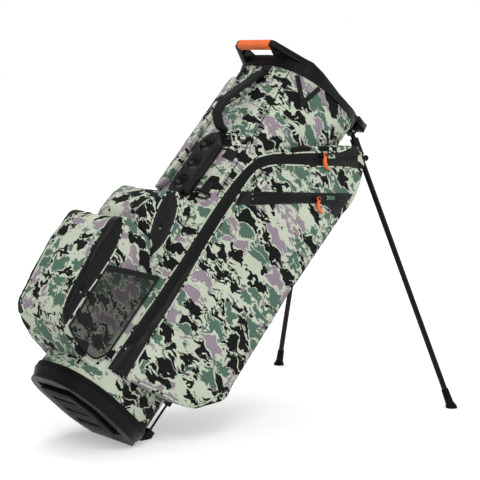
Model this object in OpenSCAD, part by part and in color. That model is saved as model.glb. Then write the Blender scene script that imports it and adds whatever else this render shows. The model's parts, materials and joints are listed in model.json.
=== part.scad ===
// Golf stand bag: a padded tube on a moulded base, held leaning by two folding legs.
// Bag frame: x forward towards the legs, y across, z along the tube from the base.
// stand() leans that frame over its toe. World origin: ground under the toe of the base.

/* [Stance] */
// Lean of the tube from upright, in degrees
lean = 43.6; // [40:0.2:47]
// Height that the ground takes off the toe of the base
toe_bevel = 14; // [10:0.5:18]

/* [Base] */
// Depth of the tube at the base
base_d = 243; // [230:1:256]
// Width of the tube at the base
base_w = 224; // [212:1:236]
// Corner radius of the tube at the base
base_r = 95; // [80:1:100]
// Height of the base's bottom flange
flange_h = 24; // [22:1:28]
// How far the flange stands out past the tube
flange_lip = 4; // [2:0.5:5]
// How far the flange is drawn in at its bottom
foot_in = 11; // [8:0.5:12]
// Thickness of the base's floor
floor_t = 9; // [7:0.5:12]
// Thickness of the base over the flat of its toe
toe_wall = 3; // [2:0.5:5]
// Height of the upstand that the tube is fixed to
upstand_h = 30; // [20:1:40]
// Wall of the upstand
upstand_t = 3; // [2:0.5:5]
// Depth of the recess under the base
recess_depth = 4; // [2:0.5:5]
// How far the tread stands below the flange
tread_drop = 7; // [4:0.5:10]
// Height of the rubber welt round the foot of the tube
welt_h = 12; // [8:1:16]
// Thickness of the welt
welt_t = 2.5; // [1.5:0.5:3.5]

/* [Tube] */
// Depth of the tube at the collar
top_d = 260; // [250:1:270]
// Length of the tube along its axis
tube_len = 849; // [820:1:870]
// Thickness of the tube's padded wall
tube_wall = 2.5; // [1.5:0.5:4]
// Radius of the stay rods inside the tube
stay_r = 4; // [3:0.5:5]
// Thickness of the fabric dividers
divider_t = 2; // [1:0.5:3]
// Distance of the cross dividers from the middle
divider_gap = 40; // [34:1:46]

/* [Collar] */
// Tilt of the collar, which rises towards the legs, in degrees
collar_tilt = 8.7; // [6:0.1:10]
// Height of the collar
collar_h = 36; // [32:1:42]
// Height of the lift handle's underside over the collar's seat
band_h = 22; // [18:1:26]
// How far the collar stands out past the tube at its seat
band_lip = 5; // [3:0.5:7]
// How far the collar stands out past the tube at its lip
lip_out = 9; // [7:0.5:11]
// Wall of the mouth, from the tube's outside
mouth_wall = 12; // [9:0.5:15]
// Thickness of the moulded divider bars
bar_t = 6; // [4:0.5:9]
// Height of the divider bars
bar_h = 26; // [18:1:32]
// How far the visor reaches past the leg hinges, forward
visor_out = 22; // [18:0.5:26]
// How far the visor reaches past the leg hinges, sideways
visor_side = 24; // [20:0.5:30]
// Height of the visor's underside over the collar's seat
visor_floor = 17; // [16:0.5:20]
// Thickness of the visor
visor_t = 10; // [8:0.5:13]
// Height of the rim over the collar's seat where its sides are lowest
rim_low = 15; // [14:0.5:18]
// How far forward of the middle the rim is lowest
rim_low_x = 41; // [30:1:50]
// Radius of the long curve along the rim's sides, seen from the side
rim_curve = 420; // [380:5:480]
// How far the rim dips behind the lift grip
rear_dip = 13; // [8:0.5:14]

/* [Lift handle] */
// Distance of the grip's axis behind the tube
grip_out = 36; // [32:0.5:42]
// Half length of the rubber grip
grip_half = 50; // [42:1:54]
// Depth and height of the rubber grip
grip_size = 19; // [16:0.5:22]
// Depth and height of the bar inside the grip
grip_core = 10; // [8:0.5:12]
// Thickness of the posts at the ends of the grip
post_t = 9; // [7:0.5:12]

/* [Stand] */
// Leg hinge: forward of the tube
hinge_out = 5; // [4:0.5:8]
// Leg hinge: sideways from the middle
hinge_y = 60; // [57:0.5:64]
// Angle between an open leg and the tube, in degrees
leg_open = 55.3; // [52:0.1:58]
// Outward splay of the leg's swing, in degrees
leg_splay = 24.7; // [22:0.1:27]
// Outside radius of the leg tube
leg_r = 6.35; // [5.5:0.05:7]
// Wall of the leg tube
leg_wall = 1.2; // [0.8:0.1:2]
// Radius of the hinge pins
pin_r = 3; // [2.5:0.1:3.5]
// Radial clearance of pins in their eyes
pin_play = 0.05; // [0.03:0.01:0.08]
// Radius of the hinge eyes
eye_r = 7.8; // [7:0.1:8.2]
// Length of the hinge eyes
eye_len = 12; // [10:0.5:14]
// Radius of the plastic sleeve at the top of a leg
sleeve_r = 10; // [9:0.25:11]
// Length of the sleeve from the hinge
sleeve_len = 58; // [50:1:60]
// Radius of the rubber foot at the ground
foot_r = 13; // [11:0.5:14]
// Length of the rubber foot
foot_len = 44; // [36:1:52]
// Distance of the push rod's clip from the hinge
clip_at = 66; // [64:0.5:70]
// Length of the link between clip and push rod
link_len = 150; // [140:1:160]
// Radius of the link wire
link_r = 2; // [1.5:0.1:2.5]
// Radius of the push rods
rod_r = 2.5; // [2:0.1:3]
// Height of the push shoe over the ground's slope at the rods
shoe_h = 22; // [20:1:26]
// How far the push shoe reaches past the middle of each rod
shoe_side = 9; // [8:0.5:11]
// Length of the slot in the head of a push rod
slot_len = 24; // [22:0.5:28]

/* [Side pockets] */
// Gap between sewn pieces and the tube
seat_gap = 0.4; // [0.3:0.1:0.6]
// Thickness of pocket cloth with its lining
cloth_t = 2; // [1.5:0.5:3]
// Rounding of a pocket's edges
pocket_round = 25; // [18:1:28]
// How far a side pocket stands out from the tube, sideways
side_out = 54; // [48:1:60]
// How far a side pocket stands out from the tube, forward
side_fore = 42; // [38:1:46]
// Width of the zip band along the top of a side pocket
top_band = 30; // [24:1:34]
// Width of the chest zip band
chest_band = 29; // [24:1:32]
// Thickness of the zip bands
tape_t = 1.4; // [1:0.1:2]
// Place of the top zip's slider, forward of the axis
top_slider_x = 32; // [28:1:60]
// Place of the chest zip's slider, forward of the axis
chest_slider_x = 77; // [60:1:100]

/* [Rear pockets] */
// Half width of the ball pocket
ball_half = 85; // [80:1:88]
// How far the ball pocket stands out behind the tube
ball_out = 132; // [124:1:140]
// Top of the ball pocket along the tube
ball_top = 330; // [322:1:334]
// Half width of the upper pocket
upper_half = 80; // [74:1:82]
// How far the upper pocket stands out behind the tube
upper_out = 86; // [78:1:92]
// Top of the upper pocket along the tube
upper_top = 452; // [446:1:455]
// Depth of a bottle sleeve
sleeve_depth = 9; // [7:0.5:11]
// Thickness of the mesh
mesh_t = 1.5; // [1:0.25:2]
// Width of the elastic on a bottle sleeve
elastic_w = 12; // [9:1:15]

/* [Fittings] */
// Length of the ball silo
silo_len = 168; // [162:1:170]
// Width of the ball silo
silo_w = 60; // [56:1:64]
// Depth of the ball silo
silo_t = 18; // [17:0.5:21]
// Radius of a ball cup
cup_r = 22.5; // [21.5:0.25:23]
// Sideways place of silo and carry handle
spine_y = -27; // [-32:1:-22]
// Width of the carry handle
handle_w = 26; // [22:1:30]
// Thickness of the carry handle
handle_t = 9; // [7:0.5:11]
// Height of the hip pad's foot along the tube
pad_foot = 66; // [58:1:74]
// Height of the cross webbing over the middle of the silo
cross_up = 40; // [34:1:46]
// How far the cross webbing starts from the silo, on the near side
cross_near = 32; // [28:1:36]
// Length of the cross webbing on the far side
cross_far = 26; // [22:1:30]
// Width of webbing
webbing_w = 24; // [20:1:28]
// Thickness of webbing
webbing_t = 2.2; // [1.6:0.2:2.8]
// Thickness of the shoulder strap's padding
strap_t = 12; // [9:0.5:15]
// Radius of the ring's wire
ring_wire = 2; // [1.5:0.1:2.5]

/* [Hidden] */
$fn = 64;

black = "#1b1b1d";
camo = "#b9c4a6";
orange = "#ee6b36";
big = 600;
taper = top_d / base_d;
top_w = base_w * taper;
fit = 0.3;
left = -1;
right = 1;

// How far the tube is stretched from the sizes that the outlines below are drawn for
deep = max(base_d / 243, top_d / 260);
wide = max(base_w / 224, top_w / 239.7);
long = tube_len / 849;
function in_plan(points) = [for (p = points) [p[0] * deep, p[1] * wide]];
function in_view(points) = [for (p = points) [p[0] * deep, p[1] * long]];

// Rear and front of the tube where it is deepest, and its side where it is widest
tube_rear = 121.5 * deep;
tube_front = max(base_d, top_d) / 2;
tube_side = 119.8 * wide;
hinge_x = tube_front + hinge_out;
lug_t = 4;
hinge_z = tube_len + hinge_x * tan(collar_tilt) + (visor_floor - lug_t - eye_r - 3 * fit) / cos(collar_tilt);
visor_reach = hinge_x + visor_out;
visor_half = hinge_y + visor_side;
grip_back = top_d / 2 + grip_out;
side_reach = tube_side + side_out;
side_front = tube_front + side_fore;

// Where the base's bottom centre stands in the world
stand_x = -base_d / 2 * cos(lean);
stand_z = base_d / 2 * sin(lean) - toe_bevel;

// Leg: height of the hinge over the ground and fall of the open leg for each unit of length
hinge_up = stand_z - hinge_x * sin(lean) + hinge_z * cos(lean);
leg_fall = sin(leg_open) * cos(leg_splay) * sin(lean) + cos(leg_open) * cos(lean);
leg_len = hinge_up / leg_fall;

// Push rod: it runs beside the folded leg, in the plane in which the link swings
lug_gap = 0.4;
link_z = leg_r + 10.65;
rod_in = -5;
slot_play = 1.6;
rod_stroke = 47.1;
rod_x = hinge_x + rod_in * cos(leg_splay) + link_z * sin(leg_splay);
rod_y = hinge_y + rod_in * sin(leg_splay) - link_z * cos(leg_splay);
link_lean = asin((clip_at * sin(leg_open) - rod_in + slot_play) / link_len);
link_drop = clip_at * cos(leg_open) + link_len * cos(link_lean);
rod_top = hinge_z - link_drop;
slot_half = link_r + slot_play + 0.4;
head_half = slot_half + 2.5;

// Flat outer face of a side pocket: a line in plan, and its slope
face_x0 = 10 * deep;
face_y0 = side_reach - 24;
face_turn = atan2(side_reach - face_y0, side_front - face_x0);

// Zip lines on that face, as points forward and along the tube
top_zip = in_view([[-62, 662], [95, 806]]);
chest_zip = in_view([[-60, 527], [150, 699]]);

echo(stand = [stand_x, stand_z], leg_len = leg_len, hinge_up = hinge_up);
echo(rod = [rod_x, rod_y, rod_top], link_lean = link_lean);

// Frames

module stand() translate([stand_x, 0, stand_z]) rotate([0, lean, 0]) children();

module on_side(side) {
    if (side == right) children();
    else mirror([0, 1, 0]) children();
}

module collar_frame() translate([0, 0, tube_len]) rotate([0, -collar_tilt, 0]) children();

// Leg hinge on the right: x outwards along the swing, y up the tube, z inwards along the pin
module hinge_frame() translate([hinge_x, hinge_y, hinge_z]) rotate([90, 0, leg_splay]) children();

// Along an open leg: the leg runs down -y from its hinge
module leg_frame() hinge_frame() rotate([0, 0, leg_open]) children();

// Centre of a zip slider on the right pocket's face: x along the face, y outwards, z along the tube
module face_frame(x, z)
    translate([x, face_y0 + (x - face_x0) * tan(face_turn), z]) rotate([0, 0, face_turn]) children();

// Everything below the ground
module ground() translate([-big, -big, -big]) cube([3 * big, 2 * big, big]);

// Shared shapes

module rounded(depth, width, radius) {
    square([depth - 2 * radius, width], center = true);
    square([depth, width - 2 * radius], center = true);
    for (x = [-1, 1], y = [-1, 1])
        translate([x * (depth / 2 - radius), y * (width / 2 - radius)]) circle(radius);
}

// Tapered body of the tube, grown by g
module tube_body(g) {
    reach = tube_len + 60;
    linear_extrude(reach, scale = 1 + (taper - 1) * reach / tube_len, slices = 1)
        rounded(base_d + 2 * g, base_w + 2 * g, base_r + g);
}

// Half depth of the tube at height z
function tube_half(z) = base_d / 2 + (top_d - base_d) / 2 * z / tube_len;

// Space above the collar's seat, from height v in the collar's frame
module above_collar(v) collar_frame() translate([-big / 2, -big / 2, v]) cube([big, big, big]);

// A side view (x, z) drawn through from y0 to y1
module side_view(y0, y1) translate([0, y1, 0]) rotate([90, 0, 0]) linear_extrude(y1 - y0) children();

// A layer of the given thickness lying on the tube
module on_tube(thickness) intersection() {
    difference() {
        tube_body(seat_gap + thickness);
        tube_body(seat_gap);
    }
    children();
}

// Straight band of width h from a to b
module band(a, b, h) {
    length = norm(b - a);
    translate(a) rotate(atan2(b[1] - a[1], b[0] - a[0])) translate([0, -h / 2]) square([length, h]);
}

module soften(radius) offset(r = radius, $fn = 24) offset(delta = -radius) children();

// Base

module recess_outline(inset) offset(delta = -inset)
    polygon([for (p = [[-92, -58], [-92, 58], [-30, 82], [62, 76], [62, -76], [-30, -82]])
        [p[0] * base_d / 243, p[1] * base_w / 224]]);

// The base's plan, drawn in from the tube's outside by inset
module base_plan(inset) rounded(base_d - 2 * inset, base_w - 2 * inset, base_r - inset);

module base_boot() color(black) difference() {
    stand() difference() {
        union() {
            linear_extrude(flange_h, scale = (base_d + 2 * flange_lip) / (base_d + 2 * flange_lip - 2 * foot_in),
                slices = 1) base_plan(foot_in - flange_lip);
            linear_extrude(flange_h + upstand_h) base_plan(tube_wall + fit);
        }
        translate([0, 0, -1]) linear_extrude(recess_depth + 1) recess_outline(0);
    }
    difference() {
        stand() translate([0, 0, floor_t]) linear_extrude(big) base_plan(tube_wall + fit + upstand_t);
        translate([0, 0, toe_wall]) ground();
    }
    ground();
}

// Raised rubber panel in the recess, with three plain grooves
module base_tread() color("#242427") stand() difference() {
    translate([0, 0, -tread_drop]) linear_extrude(tread_drop + recess_depth) recess_outline(10);
    for (x = [-56, -16, 24])
        translate([x, -40, -tread_drop - 1]) cube([12, 80, 4]);
}

module base_welt() color(black) stand() intersection() {
    difference() {
        tube_body(seat_gap + welt_t);
        tube_body(seat_gap);
    }
    translate([-big / 2, -big / 2, flange_h]) cube([big, big, welt_h]);
}

// Tube

module tube_shell() color(camo) stand() difference() {
    tube_body(0);
    tube_body(-tube_wall);
    translate([-big / 2, -big / 2, -1]) cube([big, big, flange_h + 1]);
    above_collar(0);
}

// The two stay rods stand inside the base's upstand and end behind a thin skin of the grid's rim
rim_skin = 1.3;
stay_head = top_w / 2 - mouth_wall - fit - rim_skin - fit - stay_r;
stay_foot = min(base_w / 2 - tube_wall - fit - upstand_t - fit - stay_r, stay_head);

// The stay rods, grown by g
module stay_line(g) for (side = [left, right]) on_side(side)
    translate([0, stay_foot, 0]) rotate([-atan((stay_head - stay_foot) / tube_len), 0, 0])
        cylinder(r = stay_r + g, h = tube_len + floor_t);

module stay_rods() color("#d8d2c0") stand() difference() {
    stay_line(0);
    above_collar(0);
    translate([-big / 2, -big / 2, floor_t - big]) cube(big);
}

module divider_height() difference() {
    children();
    above_collar(-bar_h / 2);
}

module divider_spine() color("#3a3a3d") difference() {
    half = base_d / 2 - tube_wall - fit - upstand_t - fit;
    stand() divider_height() translate([-half, -divider_t / 2, floor_t]) cube([2 * half, divider_t, big * 2]);
    translate([0, 0, toe_wall + fit]) ground();
}

module divider_cross() color("#3a3a3d") stand() divider_height()
    for (x = [-1, 1], side = [left, right]) {
        half = stay_foot - stay_r - 2;
        y0 = divider_t / 2 + fit;
        on_side(side) translate([x * divider_gap - divider_t / 2, y0, floor_t])
            cube([divider_t, half - y0, big * 2]);
    }

// Collar

module mouth(g)
    rounded(top_d - 2 * mouth_wall + 2 * g, top_w - 2 * mouth_wall + 2 * g, base_r - mouth_wall + g);

// Moulded bars over the dividers; their rim is notched for the stay rods
module divider_grid() color("#2b2b2e") stand() difference() {
    collar_frame() translate([0, 0, -bar_h / 2]) linear_extrude(bar_h) {
        difference() {
            mouth(-fit);
            mouth(-fit - bar_t / 2);
        }
        intersection() {
            mouth(-fit - bar_t / 4);
            union() {
                square([big, bar_t], center = true);
                for (x = [-1, 1]) translate([x * divider_gap, 0]) square([bar_t, big], center = true);
            }
        }
    }
    stay_line(fit);
}

module collar_outline(out) rounded(top_d + 2 * out, top_w + 2 * out, base_r + 8 + out);

// Lift handle in plan: two arms that run from the sides of the collar to the bar behind it
module handle_plan() {
    outer = grip_back + grip_size / 2 - 2;
    difference() {
        soften(8) polygon([[-20, -top_w / 2 - lip_out], [60 - top_d / 2, -top_w / 2 + 2],
            [-outer, -grip_half - post_t], [-outer, grip_half + post_t],
            [60 - top_d / 2, top_w / 2 - 2], [-20, top_w / 2 + lip_out]]);
        soften(8) polygon([[30 - top_d / 2, -grip_half - 16], [-grip_back + grip_core / 2, -grip_half],
            [-grip_back + grip_core / 2, grip_half], [30 - top_d / 2, grip_half + 16]]);
    }
}

module top_collar() color(black) stand() collar_frame() difference() {
    union() {
        linear_extrude(collar_h, scale = (top_d + 2 * lip_out) / (top_d + 2 * band_lip), slices = 1)
            collar_outline(band_lip);
        translate([0, 0, band_h]) linear_extrude(collar_h - band_h) handle_plan();
        // posts under the ends of the grip
        for (side = [left, right])
            side_view(side * (grip_half + post_t / 2) - post_t / 2, side * (grip_half + post_t / 2) + post_t / 2)
                polygon([[-top_d / 2 + 14, 0], [-grip_back - 4, band_h], [-grip_back - 4, collar_h],
                    [-top_d / 2 + 14, collar_h]]);
        // visor over the leg hinges
        translate([0, 0, visor_floor]) linear_extrude(collar_h - visor_floor)
            polygon([[top_d / 2 - 40, -top_w / 2 + 4], [visor_reach - 14, -visor_half - 8],
                [visor_reach, -visor_half + 8], [visor_reach, visor_half - 8],
                [visor_reach - 14, visor_half + 8], [top_d / 2 - 40, top_w / 2 - 4]]);
    }
    translate([0, 0, -1]) linear_extrude(big) mouth(0);
    // room for the hinges below the visor
    translate([top_d / 2 - 6, -visor_half - 4, -1]) cube([big, 2 * visor_half + 8, visor_floor + 1]);
    // bare bar for the grip
    difference() {
        translate([-big, -grip_half - fit, -1]) cube([big - grip_back + grip_size, 2 * (grip_half + fit), big]);
        translate([-grip_back, 0, grip_level()]) cube([grip_core, big, grip_core], center = true);
        translate([-top_d / 2 - lip_out - 0.5, -big / 2, -big / 2]) cube([big, big, big]);
    }
    // long curve along the sides of the rim
    translate([rim_low_x, 0, rim_low + rim_curve]) rotate([90, 0, 0])
        cylinder(r = rim_curve, h = big, center = true);
    // flat top of the visor
    translate([rim_low_x, -big / 2, visor_floor + visor_t]) cube([big, big, big]);
    // dip of the rim behind the grip
    translate([-top_d / 2 - lip_out - 0.5, -grip_half - fit, collar_h - rear_dip])
        cube([lip_out + mouth_wall + 10, 2 * (grip_half + fit), big]);
    // slots through the posts
    for (side = [left, right])
        side_view(side * (grip_half + post_t / 2) - post_t, side * (grip_half + post_t / 2) + post_t)
            polygon([[-grip_back + 14, band_h - 6], [-grip_back + 20, band_h - 8], [-grip_back + 20, collar_h - 8],
                [-grip_back + 14, collar_h - 8]]);
}

function grip_level() = (band_h + collar_h) / 2;

module lift_grip() color(orange) stand() collar_frame() translate([-grip_back, 0, grip_level()])
    rotate([90, 0, 0]) difference() {
        translate([0, 0, -grip_half]) linear_extrude(2 * grip_half) rounded(grip_size, grip_size, 6);
        cube([grip_core + 2 * fit, grip_core + 2 * fit, big], center = true);
        for (y = [-1, 1]) translate([0, 0, y * grip_half * 0.55]) rotate([90, 0, 0])
            cylinder(r = 2.5 + fit, h = big);
    }

module grip_screws() color("#2a2a2a") stand() collar_frame()
    for (y = [-1, 1]) translate([-grip_back, y * grip_half * 0.55, grip_level() - grip_size / 2])
        cylinder(r = 2.5, h = (grip_size - grip_core) / 2);

// Stand

module stand_bracket() color("#202022") stand() difference() {
    union() {
        collar_frame() translate([0, 0, visor_floor - lug_t]) linear_extrude(lug_t)
            translate([top_d / 2 - 5, -visor_half + 2]) square([visor_reach - top_d / 2, 2 * visor_half - 4]);
        for (side = [left, right], lug = [-1, 1]) on_side(side) difference() {
            hinge_frame() translate([0, 0, lug * (eye_len / 2 + lug_gap + lug_t / 2) - lug_t / 2]) {
                cylinder(r = eye_r, h = lug_t);
                translate([-eye_r, 0, 0]) cube([2 * eye_r, 2 * eye_r, lug_t]);
            }
            above_collar(visor_floor - lug_t / 2);
        }
    }
    for (side = [left, right]) on_side(side) hinge_frame() cylinder(r = pin_r, h = big / 6, center = true);
    for (y = [-1, 0, 1]) collar_frame() translate([visor_reach - 9, y * 22, 0]) cylinder(r = 2.5, h = big / 20);
}

module bracket_screws() color("#9a9a9e") stand() collar_frame()
    for (y = [-1, 0, 1]) translate([visor_reach - 9, y * 22, visor_floor - lug_t - 2]) {
        cylinder(r = 2.4, h = lug_t + 2);
        cylinder(r = 4.5, h = 2 - fit / 3);
    }

module leg_pins() color("#b8b8bc") stand()
    for (side = [left, right]) on_side(side) hinge_frame()
        cylinder(r = pin_r, h = eye_len + 2 * lug_gap + 2 * lug_t + 2, center = true);

module leg_socket(side) color("#202022") stand() on_side(side) leg_frame() difference() {
    union() {
        cylinder(r = eye_r, h = eye_len, center = true);
        rotate([90, 0, 0]) cylinder(r = eye_len / 2 - 0.6, h = 20);
        translate([0, -16, 0]) rotate([90, 0, 0]) cylinder(r = sleeve_r, h = sleeve_len - 16);
    }
    cylinder(r = pin_r + pin_play, h = big / 6, center = true);
    translate([0, -22, 0]) rotate([90, 0, 0]) cylinder(r = leg_r + fit / 3, h = big);
}

module leg_tube(side) color("#141416") stand() on_side(side) leg_frame()
    translate([0, -22, 0]) rotate([90, 0, 0]) difference() {
        cylinder(r = leg_r, h = leg_len - 22 - foot_len / 2);
        translate([0, 0, -1]) cylinder(r = leg_r - leg_wall, h = big * 2);
    }

module leg_foot(side) color("#18181a") difference() {
    stand() on_side(side) leg_frame() translate([0, -leg_len, 0]) rotate([-90, 0, 0]) difference() {
        rotate_extrude() polygon([[0, -8], [foot_r, -8], [foot_r, 2], [foot_r - 4, 12], [leg_r + 2.4, 20],
            [leg_r + 1.6, foot_len], [0, foot_len]]);
        translate([0, 0, foot_len / 2]) cylinder(r = leg_r + fit / 3, h = big);
    }
    ground();
}

// Clip of the push rod's link: a ring round the leg, a round knob and a stud for the link
module leg_clip(side) color("#26262a") stand() on_side(side) leg_frame() translate([0, -clip_at, 0]) {
    difference() {
        union() {
            rotate([90, 0, 0]) cylinder(r = leg_r + 3, h = 12, center = true);
            translate([leg_r + 5, 0, 0]) sphere(r = 7);
        }
        rotate([90, 0, 0]) cylinder(r = leg_r + fit / 3, h = big, center = true);
    }
    translate([0, 0, leg_r + 1]) cylinder(r = link_r, h = link_z - leg_r + 4);
    translate([0, 0, leg_r + 2]) cylinder(r = 4.5, h = link_z - leg_r - 5);
    translate([0, 0, link_z + 2.8]) cylinder(r = 4, h = 2);
}

module stand_link(side) color("#98989c") stand() on_side(side) hinge_frame()
    translate([clip_at * sin(leg_open), -clip_at * cos(leg_open), link_z]) rotate([0, 0, -link_lean]) {
        difference() {
            union() {
                cylinder(r = 5, h = 5, center = true);
                translate([0, -3.5, 0]) rotate([90, 0, 0]) cylinder(r = link_r - 0.3, h = link_len - 3.5);
            }
            cylinder(r = link_r + pin_play, h = big / 6, center = true);
        }
        translate([0, -link_len, 0]) cylinder(r = link_r, h = 16, center = true);
    }

// Push rods: one beside each folded leg, with a slotted head in which the link's pin slides
module push_rods() color("#a4a4a8") stand()
    for (side = [left, right]) on_side(side) {
        translate([rod_x, rod_y, shoe_top() - 8]) cylinder(r = rod_r, h = rod_top - slot_len - shoe_top() + 8);
        translate([rod_x, rod_y, rod_top]) rotate([90, 0, leg_splay]) for (cheek = [-1, 1])
            translate([0, 0, cheek * 5.5 - 1.5]) linear_extrude(3) difference() {
                translate([-head_half, -slot_len - 6]) square([2 * head_half, 1.5 * slot_len + 10]);
                translate([-slot_half, -slot_len / 2]) square([2 * slot_half, slot_len]);
            }
        translate([rod_x, rod_y, rod_top]) rotate([90, 0, leg_splay])
            translate([-head_half, -slot_len - 6, -7]) cube([2 * head_half, 6, 14]);
    }

function shoe_top() = (rod_x * sin(lean) - stand_z) / cos(lean) + shoe_h;

// Shoe that the ground pushes up when the bag is set down on its toe
module push_shoe() color("#232326") difference() {
    stand() difference() {
        translate([base_d / 2 + flange_lip + 2, -rod_y - shoe_side, 0])
            cube([rod_x - base_d / 2 - flange_lip + shoe_side - 3, 2 * (rod_y + shoe_side), shoe_top()]);
        for (side = [left, right]) translate([rod_x, side * rod_y, shoe_top() - 8]) cylinder(r = rod_r, h = 20);
    }
    ground();
}

module rod_guides() color("#2a2a2d") stand()
    for (side = [left, right], z = [120, 330, 540] * long) on_side(side) difference() {
        translate([tube_half(0) - 20, rod_y - 6, z]) cube([rod_x + 6 - tube_half(0) + 20, 12, 14]);
        translate([rod_x, rod_y, z - 1]) cylinder(r = rod_r + 2 * pin_play, h = 16);
        tube_body(seat_gap);
    }

// Padded panel between the folded legs, clear of the rods' heads at the end of their stroke
pad_top = rod_top - slot_len - 6 - rod_stroke - 4;

module hip_pad() color(black) stand() on_tube(9)
    rotate([90, 0, 90]) linear_extrude(big) soften(16)
        polygon([[-rod_y + 8, pad_foot], [rod_y - 8, pad_foot], [rod_y - 8, pad_top], [-rod_y + 8, pad_top]]);

module toe_tab() color(black) stand() on_tube(webbing_t)
    rotate([90, 0, 90]) linear_extrude(big) translate([-webbing_w / 2, flange_h + welt_h + fit])
        square([webbing_w, pad_foot - flange_h - welt_h - 2 * fit]);

// Side pockets: plan and side view cross, and the tube is taken out

module side_plan(g) offset(r = pocket_round + g, $fn = 24) offset(delta = -pocket_round) polygon(concat(
    in_plan([[-86, 40], [-86, 91], [-50, 118]]),
    [[face_x0, face_y0], [side_front, side_reach], [side_front, 112 * wide]],
    in_plan([[144, 104], [92, 90], [92, 40]])));

module side_outline(g) offset(r = 18 + g, $fn = 16) offset(delta = -18) polygon(concat(
    in_view([[-110, 62], [70, 100], [112, 118]]),
    [[side_front, 190 * long], [side_front, 690 * long]],
    in_view([[150, 745], [124, 796]]),
    [top_zip[1], top_zip[0]],
    in_view([[-90, 606], [-110, 560]])));

module side_body(g) difference() {
    intersection() {
        linear_extrude(big * 2) side_plan(g);
        side_view(0, big / 2) side_outline(g);
    }
    tube_body(seat_gap - g);
}

module side_pocket(side) color(camo) stand() on_side(side) difference() {
    side_body(0);
    side_body(-cloth_t);
}

// Zip bands: one up the rear edge and along the top, one across the chest
module side_zip(side) color(black) stand() on_side(side) difference() {
    intersection() {
        linear_extrude(big * 2) side_plan(tape_t);
        side_view(60, big / 2) intersection() {
            union() {
                down = [0.676, -0.737];
                band(top_zip[0] + (4 + top_band / 2) * down, top_zip[1] + (4 + top_band / 2) * down, top_band);
                band(chest_zip[0] + [12, 9.8], chest_zip[1], chest_band);
                polygon(in_view([[-90, 90], [-48, 100], [-48, 620], [-38, 636], [-56, 656], [-80, 622],
                    [-90, 590]]));
            }
            side_outline(-2);
        }
    }
    linear_extrude(big * 2) side_plan(0);
    tube_body(seat_gap);
}

// Zip sliders and pulls

function on_line(line, x) = line[0][1] + (line[1][1] - line[0][1]) / (line[1][0] - line[0][0]) * (x - line[0][0]);

top_slider_z = on_line(top_zip, top_slider_x) - 19 / cos(42.5);
chest_slider_z = on_line(chest_zip, chest_slider_x);
echo(top_slider = [top_slider_x, face_y0 + (top_slider_x - face_x0) * tan(face_turn), top_slider_z]);
echo(chest_slider = [chest_slider_x, face_y0 + (chest_slider_x - face_x0) * tan(face_turn), chest_slider_z]);
echo(face_turn = face_turn);
echo(ring = [corner_c(ring_z), corner_r(ring_z), ring_z], hinge = [hinge_x, hinge_y, hinge_z]);

slider_t = 4.5;
pull_t = 4;
crescent_r = 19;
crescent_hollow = 25;
crescent_t = 7.5;
crescent_bulge = 8.5;
crescent_drop = 16;
stud_r = 1.6;

module slider(side, x, z, rise) color("#2d2d31") stand() on_side(side) face_frame(x, z) {
    translate([0, tape_t + fit, 0]) rotate([-90, 0, 0]) {
        rotate([0, 0, -rise]) linear_extrude(slider_t) {
            square([16, 8], center = true);
            translate([8, 0]) circle(4);
            translate([-8, 0]) circle(4);
        }
        cylinder(r = stud_r, h = slider_t + pull_t + 2 * fit);
        translate([0, 0, slider_t + pull_t + 2 * fit]) cylinder(r = 3, h = 1.2);
    }
}

// Crescent pull that hangs from the slider's stud
module pull(side, x, z) color(orange) stand() on_side(side) face_frame(x, z)
    translate([0, tape_t + 2 * fit + slider_t + pull_t / 2, 0]) rotate([90, 0, 0]) rotate([0, 0, lean + 8])
        linear_extrude(pull_t, center = true) difference() {
            union() {
                circle(4.2);
                soften(1.2) difference() {
                    translate([crescent_r - crescent_bulge, -crescent_drop]) circle(crescent_r, $fn = 96);
                    translate([crescent_hollow + crescent_t - crescent_bulge, -crescent_drop])
                        circle(crescent_hollow, $fn = 96);
                }
            }
            circle(stud_r + pin_play);
        }

top_rise = 42.5;
chest_rise = 39.3;

// Rear pockets

ball_reach = tube_rear + ball_out;

module ball_plan(g) translate([-ball_reach / 2 - 10, 0])
    rounded(ball_reach - 20 + 2 * g, 2 * (ball_half + g), 14 + g);

module ball_outline(g) offset(r = 16 + g, $fn = 16) offset(delta = -16) polygon([
    for (p = [[-0.46, 0.17], [0.215, 0.19], [0.65, 0.255], [0.775, 0.305], [0.895, 0.545], [1, 0.795],
            [0.985, 0.935], [0.85, 1], [0.26, 1], [-0.165, 0.8], [-0.46, 0.8]])
        [-tube_rear - p[0] * ball_out, p[1] * ball_top]]);

module ball_body(g) difference() {
    intersection() {
        linear_extrude(big) ball_plan(g);
        side_view(-big / 2, big / 2) ball_outline(g);
    }
    tube_body(seat_gap - g);
}

module ball_pocket() color(camo) stand() difference() {
    ball_body(0);
    ball_body(-cloth_t);
}

module ball_zip() color(black) stand()
    for (side = [left, right]) on_side(side) side_view(ball_half, ball_half + tape_t) soften(3)
        polygon([for (p = [[0.885, 0.91], [0.82, 0.575], [0.67, 0.315], [0.58, 0.315], [0.65, 0.575],
                [0.655, 0.93]])
            [-tube_rear - p[0] * ball_out, p[1] * ball_top]]);

module upper_outline(g) offset(r = 14 + g, $fn = 16) offset(delta = -14) polygon(concat(
    [[-tube_rear + 62, ball_top * 0.827], [-tube_rear + 17, ball_top * 0.827]],
    [for (p = [[0.38, 0], [0.84, 0], [1, 0.28], [0.93, 0.58], [0.7, 0.9], [0.42, 1]])
        [-tube_rear - p[0] * upper_out, ball_top + 3 + p[1] * (upper_top - ball_top - 3)]],
    [[-tube_rear + 62, upper_top]]));

module upper_body(g) difference() {
    intersection() {
        linear_extrude(big) translate([-tube_rear - upper_out + 100 - g, 0])
            rounded(200 + 2 * g, 2 * (upper_half + g), 24 + g);
        side_view(-big / 2, big / 2) upper_outline(g);
    }
    tube_body(seat_gap - g);
}

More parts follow.
